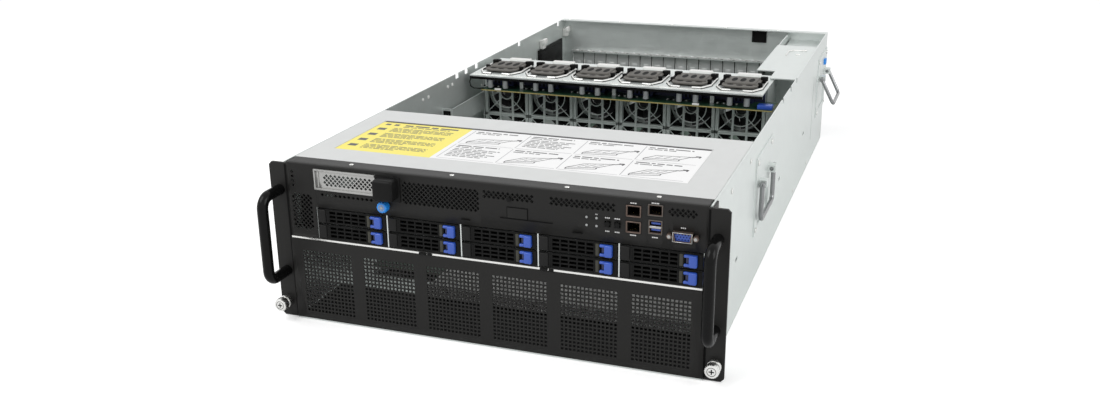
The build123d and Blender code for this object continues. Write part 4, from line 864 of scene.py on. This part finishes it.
class BuildFanWall(Operator):
    """Twelve fans in their housings with ringed guards, their rotors and lifting caps"""
    bl_idname = "server.fan_wall"
    bl_label = "Fan Wall"

    def execute(self, context):
        size = context.scene.server_sizes
        thick, y = mm(size.guard_wire) / 2, FAN_Y
        bm = bmesh.new()
        for x in FAN_X:
            for z in FAN_Z.values():
                bored_frame(bm, x, (y + 6.5, y + 38), z, 66, 62.4, 0)
                bored_frame(bm, x, (y + 6, y + 6.5), z, 65.8, 62.2, 1)
                surround(bm, x, (y, y + 6.5), z, (33, 28.6, 31.2), (31.2, 28.8, 33), 0, 0.4, 1)
                for side in SIDES:
                    block(bm, about(x + side * 9.5, 1.5), (y - 0.4, y + 2), about(z, 31.2), 0, 0.4, 1)
                    for up in SIDES:
                        rod(bm, (x + side * 6.4, x + side * 30), y + 1, (z + up * 6.4, z + up * 29.4), thick, 0, 6)
                for radius in (8.5, 21.0):
                    hoop(bm, x, y + 1, z, radius, thick, 0, 32)
                rod(bm, x, (y + 34, y + 38), z, 14, 0, 32, 0.8)
                for step in range(3):
                    angle = radians(90 + 120 * step)
                    rod(bm, (x + 12 * cos(angle), x + 29 * cos(angle)), y + 36,
                        (z + 12 * sin(angle), z + 29 * sin(angle)), 1.9, 0, 8)
        place("fan_housings", bm, ("guard_plastic", "black_liner_and_painted_shade"), replaces=("fan_frames",))

        for column, x in enumerate(FAN_X, start=1):
            for row, z in FAN_Z.items():
                name = f"fan_rotor_{row}_{column}"
                bm = bmesh.new()
                rod(bm, x, (y + 38, y + 30), z, 1.95, 1, 12)
                rod(bm, x, (y + 33, y + 9), z, 12.9, 0, 36, 1.6)
                hoop(bm, x, y + 9.1, z, 7.5, 0.35, 1)
                for blade in range(size.blades):
                    verts = bmesh.ops.create_grid(bm, x_segments=5, y_segments=7, size=1)["verts"]
                    for v in verts:
                        out, along = (v.co.x + 1) / 2, v.co.y
                        angle = 2 * pi * blade / size.blades + along * (0.42 + 0.16 * out) + 0.3 * out
                        reach = 12.4 + 15.2 * out
                        v.co = (x + reach * cos(angle), y + 21 + 8.2 * along - 1.6 * along * along,
                                z + reach * sin(angle))
                    bm.normal_update()
                    bmesh.ops.solidify(bm, geom=coat(verts, 0), thickness=1.2)
                place(f"{name}_blades", bm, ("rotor_plastic", "plated_steel"), name, (name,))

        bm = bmesh.new()
        for x in FAN_X:
            verts = bmesh.ops.create_cube(bm, size=1, matrix=Matrix.LocRotScale(
                Vector((x, 500, 172.9)), None, Vector((47, 60, 1.7))))["verts"]
            corners = dict.fromkeys(e for v in verts for e in v.link_edges if all(w.co.y < 471 for w in e.verts)
                                    and abs(e.verts[0].co.z - e.verts[1].co.z) > 1)
            bmesh.ops.bevel(bm, geom=list(corners), offset=11, offset_type="OFFSET", affect="EDGES", segments=3,
                            profile=0.5, material=-1)
            blocks(bm, (about(x, 22), (499, 529), (165.9, 171.2), 0, 0.4),
                   (about(x, 19), (490, 526), (173.5, 174.6), 0, 0.5),
                   (about(x, 21.5), (485.4, 487.4), (173.5, 174.8), 0, 0.5))
            for k in (-1, 0, 1):
                spot(bm, x + 12.5 * k, 479.5 + 2.2 * abs(k), 173.76, 4.6, 3.2)
                spot(bm, x + 11.5 * k, 508, 174.66, 3.8, 10.5)
            for side in SIDES:
                rod(bm, x + side * 25, 520, (169.6, 177.2), 4.3, 1, 20, 0.8)
                rod(bm, x + side * 25, 492, (169.6, 175.6), 3.2, 1, 16, 0.6)
                block(bm, (x + side * 21, x + side * 29), (525, 533), (169.6, 175.4), 1, 1.0)
        place("fan_lift_caps", bm, ("cap_plastic", "black_liner_and_painted_shade"), replaces=("fan_caps",))

        bm = bmesh.new()
        for x in FAN_X:
            for side in SIDES:
                for z, radius, paint in ((170.7, 1.4, 0), (168.9, 1.9, 1)):
                    wire(bm, [(x + side * out, depth, z) for out, depth in (
                        (8, 462), (20, 462), (25, 471), (29.5, 480), (29.5, 520))], radius, paint)
            block(bm, about(x, 33), (454, 456), (169.5, 170.5), 0, 0.4)
        wire(bm, [(186, 690, 172.8), (186, 722, 172.8), (192, 730, 172.8), (208, 730, 172.8)], 1.0)
        rod(bm, 208, 730, (172, 174), 3.2, 0, 18, 0.5)
        rod(bm, 202, 700, (172, 173.4), 3.0, 0, 18, 0.5)
        wire(bm, [(-211, 450.5, 166), (-212.4, 448, 160), (-211, 447, 154.5), (-206.5, 447.5, 151.5),
                  (-199, 451, 150.6), (-194, 455, 150.6)], 0.9, 1)
        place("bridge_wires", bm, ("plated_steel", "black_liner_and_painted_shade"))

        bm = bmesh.new()
        for x in FAN_X:
            block(bm, about(x, 16), (549, 559), (169.5, 173), 0, 0.8)
        # Dark strip under the bridge's front edge: painted shadow.
        block(bm, (-212.9, 192.9), (449.5, 450), (164, 167.6), 1, 0.2, 1)
        place("bridge_pads_and_painted_shadow", bm, ("nylon_white", "black_liner_and_painted_shade"))
        return {"FINISHED"}


def board(bm, x, y, z):
    """Circuit board with a bare edge."""
    block(bm, x, y, (z[0] + 0.05, z[1] - 0.05), EDGE)
    block(bm, (x[0] + 0.1, x[1] - 0.1), (y[0] + 0.1, y[1] - 0.1), z, LACQUER)


class BuildBoards(Operator):
    """Fan board, main board, card board and drive backplane with what they carry"""
    bl_idname = "server.boards"
    bl_label = "Circuit Boards"

    def execute(self, context):
        deck = 150
        bm = bmesh.new()
        board(bm, (-196, 206), (450, 495), (148.4, deck))
        for x in FAN_X:
            for can in (x - 8, x + 14):
                rod(bm, can, 459, (deck, 151.2), 4.0, BLACK, 20, 0.3)
                rod(bm, can, 459, (151.2, 162.5), 3.7, CAN, 24, 0.7)
            blocks(bm, (about(x, 18), (479, 489), (deck, 161), PLUG, 0.6),
                   (about(x, 16), (477.6, 479), (152, 158), PLUG, 0.4))
            for k in range(6):
                block(bm, (x - 15 + 5.4 * k, x - 12.4 + 5.4 * k), (477.3, 477.8), (153, 157), BLACK)
            for k in range(7):
                chip = x - 27 + 4.2 * k
                block(bm, (chip, chip + 2), (468, 471.5), (deck, 151.2), BLACK if k % 2 else WHITE, 0.2, 1)
        blocks(bm, ((186, 205), (453, 466), (deck, 155.5), BLUE, 0.8), ((-205, 190), (491, 494), (deck, 167.5), PLUG))
        for x in (-176, 102):
            block(bm, (x, x + 9), (449.6, 452), (deck, 152.4), WHITE, 0.4)
        place("fan_board", bm, BOARD_FINISHES, replaces=("circuit_boards",))

        fins = context.scene.server_sizes.fins
        floor, low, top = 1.5, 7.5, 9.1
        bm = bmesh.new()
        board(bm, (-205, 205), (135, 440), (low, top))
        for side in SIDES:
            for row in SIDES:
                rod(bm, side * 193, 287.5 + row * 140.5, (floor, low), 3, ALLOY, 6)
            x = side * 95
            block(bm, about(x, 39), (246, 354), (top, 15.1), ALLOY, 0.6)
            for k in range(fins):
                block(bm, about(x - 38.4 + 76.8 * k / (fins - 1), 0.5), (247, 353), (15, 71.1), ALLOY)
            for k in range(4):
                rod(bm, x - 36 + 72 * (k % 2), 252 + 96 * (k // 2), (15, 22), 3.4, ALLOY, 16, 0.6)
            for slot_x in (x + bank * 70 + 9.5 * k for bank in SIDES for k in (-1, 0, 1)):
                blocks(bm, (about(slot_x, 3.2), (235, 365), (top, 15), BLACK, 0.4),
                       (about(slot_x, 0.7), (237, 363), (15, 40.1), LACQUER, 0.2, 1))
                for end in (235.5, 364.5):
                    block(bm, about(slot_x, 2.6), about(end, 2.4), (top, 26), WHITE, 0.8)
                for chip in range(9):
                    y = 244 + 12.6 * chip
                    block(bm, about(slot_x, 1.8), (y, y + 9.6), (22, 35), BLACK, 0.2, 1)
        for k in range(10):
            x = -180 + 40 * k
            blocks(bm, (about(x, 6), (392, 404), (top, 17), BLACK, 0.8),
                   (about(x, 9), (165, 183), (top, 11.4), BLACK, 0.4),
                   ((x - 8, x + 12), (418, 430), (top, 19), BLACK if k % 3 else WHITE, 0.8))
            rod(bm, x + 14, 398, (top, 20), 4, CAN, 18, 0.6)
            rod(bm, x + 20, 200, (top, 17), 3, CAN, 16, 0.5)
        place("main_board", bm, BOARD_FINISHES, replaces=("circuit_boards",))

        bm = bmesh.new()
        board(bm, (-212, 156), (590, 850), (low, top))
        for x in (-200, 144):
            for y in (602, 838):
                rod(bm, x, y, (floor, low), 3, ALLOY, 6)
        for k in range(8):
            x = -28 + 40.64 * (k - 3.5)
            for side in SIDES:
                blocks(bm, ((x + side * 4, x + side * 0.9), (715, 805), (top, 20.1), BLACK, 0.5),
                       ((x + side * 1.3, x + side * 0.85), (717, 803), (12, 19.2), GOLD))
            blocks(bm, (about(x, 4), (706, 716), (top, 24), BLACK, 1.0),
                   (about(x, 1.2), (804, 806), (top, 20.1), BLACK, 0.3),
                   (about(x, 9), (640, 658), (top, 12), BLACK, 0.4),
                   ((x - 14, x + 6), (604, 613), (top, 20), BLACK if k % 2 else WHITE, 0.7))
            rod(bm, x + 13, 676, (top, 19), 4, CAN, 18, 0.6)
        place("card_board", bm, BOARD_FINISHES, replaces=("circuit_boards",))

        bm = bmesh.new()
        sheet(bm, (-188.4, 218.6), 112, (94.8, 124.8))
        for x in BAY_X:
            opening(bm, about(x, 26), (107.8, 111.8))
        place("drive_backplane", bm, ("board_lacquer",), replaces=("circuit_boards",), wall=1.6)

        bm = bmesh.new()
        for x in BAY_X:
            blocks(bm, (about(x, 24), (113.6, 121), (97, 104), PLUG, 0.5),
                   ((x - 30, x - 14), (113.6, 119), (114, 122), WHITE, 0.5))
            rod(bm, x + 16, (113.6, 122), 118, 3.2, CAN, 18, 0.5)
        place("backplane_plugs", bm, BOARD_FINISHES)
        return {"FINISHED"}


class BuildRear(Operator):
    """Details of the rear panel, the inner walls and the power supplies"""
    bl_idname = "server.rear"
    bl_label = "Rear and Power Supplies"

    def execute(self, context):
        bm = bmesh.new()
        for x in (-210, -120, -30, 60, 146):
            rod(bm, x, 873, (175, 176), 3.2, 0, 18, 0.5)
        for side in SIDES:
            for y, z in ((36, 160), (92, 160), (196, 160), (60, 10), (560, 10), (700, 10)):
                rod(bm, (side * 224, side * 225.1), y, z, 3.0, 0, 18, 0.5)
            for y in LIFT_Y.values():
                for step, z in ((-45, 145), (45, 145), (-45, 66), (45, 66)):
                    rod(bm, (side * 225.5, side * 226.9), y + step, z, 3.2, 0, 18, 0.7)
        place("case_screws", bm, ("plated_steel",))

        bm = bmesh.new()
        for y in (758, 874):
            blocks(bm, ((-222.5, -215), about(y, 6), (146, 160), 0, 1.2),
                   ((-216, -211), (y - 9, y + 4), (154, 163), 0, 1.2))
        for y in (322, 338, 398, 412):
            rod(bm, (-222.5, -221.5), y, 163, 2.4, 0, 16, 0.4)
        place("wall_clips", bm, ("nylon_white",))

        bm = bmesh.new()
        # The first two black blocks, on the left wall, are painted shade standing for the dark opening that shows the
        # unlit bay.
        blocks(bm, ((-222.5, -219.5), (744, 858), (94, 145), 0, 0.8),
               ((-219.6, -218.4), (750, 852), (100, 139), 0, 0.5),
               ((-222, -209.2), (380, 487), (113.6, 114)), ((-221, -210.5), (377.5, 378), (115, 135), 0, 0.2, 1))
        surround(bm, 115.35, (876, 882), 162.5, (11.8, 10.2, 9.9), (9.9, 8.3, 11.35), 0, 0.5)
        for side in SIDES:
            block(bm, (105, 126), (878.6, 879.6), (162.5 + side * 8.4, 162.5))
        place("grommets_and_painted_wall_shade", bm, ("moulded_black",))

        bm = bmesh.new()
        block(bm, (224, 229), (836, 849), (131, 140), 0, 1.2)
        place("side_catch", bm, ("knob_plastic",))

        for name in SUPPLIES:
            low, high = span(name)
            middle = (low.z + high.z) / 2
            inlet = middle - 24
            bm = bmesh.new()
            sheet(bm, (180, 207), 883.4, (middle + 1, middle + 37), (-pi / 2, 0, pi))
            perforate(bm, (181.5, 205.5), (middle + 2.5, middle + 35.5), 3.0, 0.9, slant=True)
            place(f"{name}_vent", bm, ("sheet_steel",), name, wall=0.4, facing=1)
            bm = bmesh.new()
            block(bm, (206.3, 215.7), (883, 895.3), (middle + 14.8, middle + 31.2), 0, 0.9)
            for k in range(4):
                rib = middle + 18 + 3.2 * k
                block(bm, (207.4, 214.6), (895.2, 895.9), (rib, rib + 1.4), 0, 0.3, 1)
            block(bm, about(193, 11.6), (867.2, 867.9), about(inlet, 9.6), 1)
            surround(bm, 193, (867.2, 883.6), inlet, (12, 11.3, 10), (10, 9.4, 11.6), 1, 0.2, 1)
            for x, z in ((187, 2), (193, -3), (199, 2)):
                block(bm, about(x, 1), (867.8, 879), about(inlet + z, 2.6), 2, 0.4)
            rod(bm, 179, (883, 883.9), middle - 34, 2.6, 2, 16, 0.4)
            rod(bm, 211, (883, 884.2), middle + 5, 1.6, 3, 16, 0.5)
            place(f"{name}_inlet_parts", bm, ("latch_plastic", "moulded_black", "plated_steel", "lamp_lens"), name)
        return {"FINISHED"}


class BuildBails(Operator):
    """Round wire bails of the side lifting handles"""
    bl_idname = "server.bails"
    bl_label = "Lifting Bails"

    def execute(self, context):
        for name, swing in BAIL_SWING.items():
            side = -1 if "left" in name else 1
            x, y, z = side * 230, LIFT_Y[name.split("_")[-1]], 118
            bm = bmesh.new()
            bent_bar(bm, (x, y - 39, z + 2.6), (0, 0, -1), 2.7,
                     ((36.6, 8, pi / 2), (62, 8, pi / 2), (36.6, 0, 0)), 16, 8)
            for end in SIDES:
                rod(bm, x, (y + end * 39, y + end * 25), z, 2.35, 0, 14, 0.3)
                rod(bm, x, (y + end * 42.2, y + end * 36.6), z, 3.1, 0, 18, 0.5)
            bmesh.ops.rotate(bm, verts=bm.verts, cent=(x, y, z),
                             matrix=Matrix.Rotation(radians(-swing * side), 3, "Y"))
            place(f"{name}_wire", bm, ("chrome_wire",), name, (name,), crease=60)
        return {"FINISHED"}


class BuildStage(Operator):
    """Pale floor, soft light and the camera"""
    bl_idname = "server.stage"
    bl_label = "Stage"

    def execute(self, context):
        scene = context.scene
        stage = scene.server_stage
        scene.view_settings.view_transform = "Standard"

        floor = bpy.data.materials.new("stage_floor")
        floor.use_nodes = True
        tree = floor.node_tree
        shader = tree.nodes["Principled BSDF"]
        for label, value in (("Base Color", (*stage.floor, 1)), ("Roughness", 0.9), ("Specular IOR Level", 0.0),
                             ("Emission Color", (1, 1, 1, 1))):
            shader.inputs[label].default_value = value
        rays = tree.nodes.new("ShaderNodeLightPath").outputs
        tree.links.new(calc(tree, "MULTIPLY", rays["Is Camera Ray"], 0.30), shader.inputs["Emission Strength"])
        bm = bmesh.new()
        bmesh.ops.create_grid(bm, x_segments=1, y_segments=1, size=9, matrix=Matrix.Translation((0, 0, -0.0004)))
        mesh = bpy.data.meshes.new("stage_floor")
        bm.to_mesh(mesh)
        bm.free()
        mesh.materials.append(floor)
        ground = added("stage_floor", mesh)

        world = bpy.data.worlds.new("stage_world")
        world.use_nodes = True
        scene.world = world
        tree = world.node_tree
        background = tree.nodes["Background"]
        background.inputs["Color"].default_value = (1, 1, 1, 1)
        rays = tree.nodes.new("ShaderNodeLightPath").outputs
        clear = calc(tree, "MAXIMUM", rays["Is Glossy Ray"], rays["Is Transmission Ray"])
        level = tree.nodes.new("ShaderNodeMapRange")
        level.inputs["To Min"].default_value = stage.sky
        level.inputs["To Max"].default_value = 1.0
        tree.links.new(calc(tree, "MAXIMUM", rays["Is Camera Ray"], clear), level.inputs["Value"])
        tree.links.new(level.outputs[0], background.inputs["Strength"])

        for name, spot_at, wide, power in (("key", (-1.3, -1.5, 2.4), 1.8, stage.key),
                                           ("fill", (2.4, -0.6, 1.5), 1.6, stage.fill)):
            lamp = bpy.data.lights.new(f"{name}_light", "AREA")
            lamp.energy = power
            lamp.size = wide
            holder = added(f"{name}_light", lamp)
            holder.location = spot_at
            holder.rotation_euler = (Vector((0, 0, 0.1)) - holder.location).to_track_quat("-Z", "Y").to_euler()

        view = bpy.data.cameras.new("photo_camera")
        view.sensor_width = 36
        view.lens = stage.lens
        view.clip_end = 50
        camera = added("photo_camera", view)
        ahead = Vector((-0.325, 0.887, -0.329)).normalized()
        camera.location = (0.409, -1.369, 0.509)
        camera.rotation_euler = (ahead.to_track_quat("-Z", "Y") @ Quaternion((0, 0, 1), stage.roll)).to_euler()
        scene.camera = camera
        return {"FINISHED"}


OPERATORS = (MakeFinishes, BuildFrontPanel, BuildIntakeGrille, BuildGrips, BuildTrays, BuildSockets, BuildBrackets,
             BuildLabel, BuildFanWall, BuildBoards, BuildRear, BuildBails, BuildStage)
SETTINGS = {"server_sizes": ServerSizes, "server_colours": ServerColours, "server_stage": StageSettings}


class ServerPanel(Panel):
    """Settings and builders of the server"""
    bl_idname = "VIEW3D_PT_server"
    bl_label = "Accelerator Server"
    bl_space_type = "VIEW_3D"
    bl_region_type = "UI"
    bl_category = "Server"

    def draw(self, context):
        for name, kind in SETTINGS.items():
            column = self.layout.box().column()
            for setting in kind.__annotations__:
                column.prop(getattr(context.scene, name), setting)
        for operator in OPERATORS:
            self.layout.operator(operator.bl_idname)


def register():
    for kind in (*SETTINGS.values(), *OPERATORS, ServerPanel):
        bpy.utils.register_class(kind)
    for name, kind in SETTINGS.items():
        setattr(Scene, name, PointerProperty(type=kind))


def unregister():
    for name in SETTINGS:
        delattr(Scene, name)
    for kind in reversed((*SETTINGS.values(), *OPERATORS, ServerPanel)):
        bpy.utils.unregister_class(kind)


def main():
    register()
    for operator in OPERATORS:
        category, call = operator.bl_idname.split(".")
        getattr(getattr(bpy.ops, category), call)()
    bpy.context.view_layer.update()


if __name__ == "__main__":
    main()
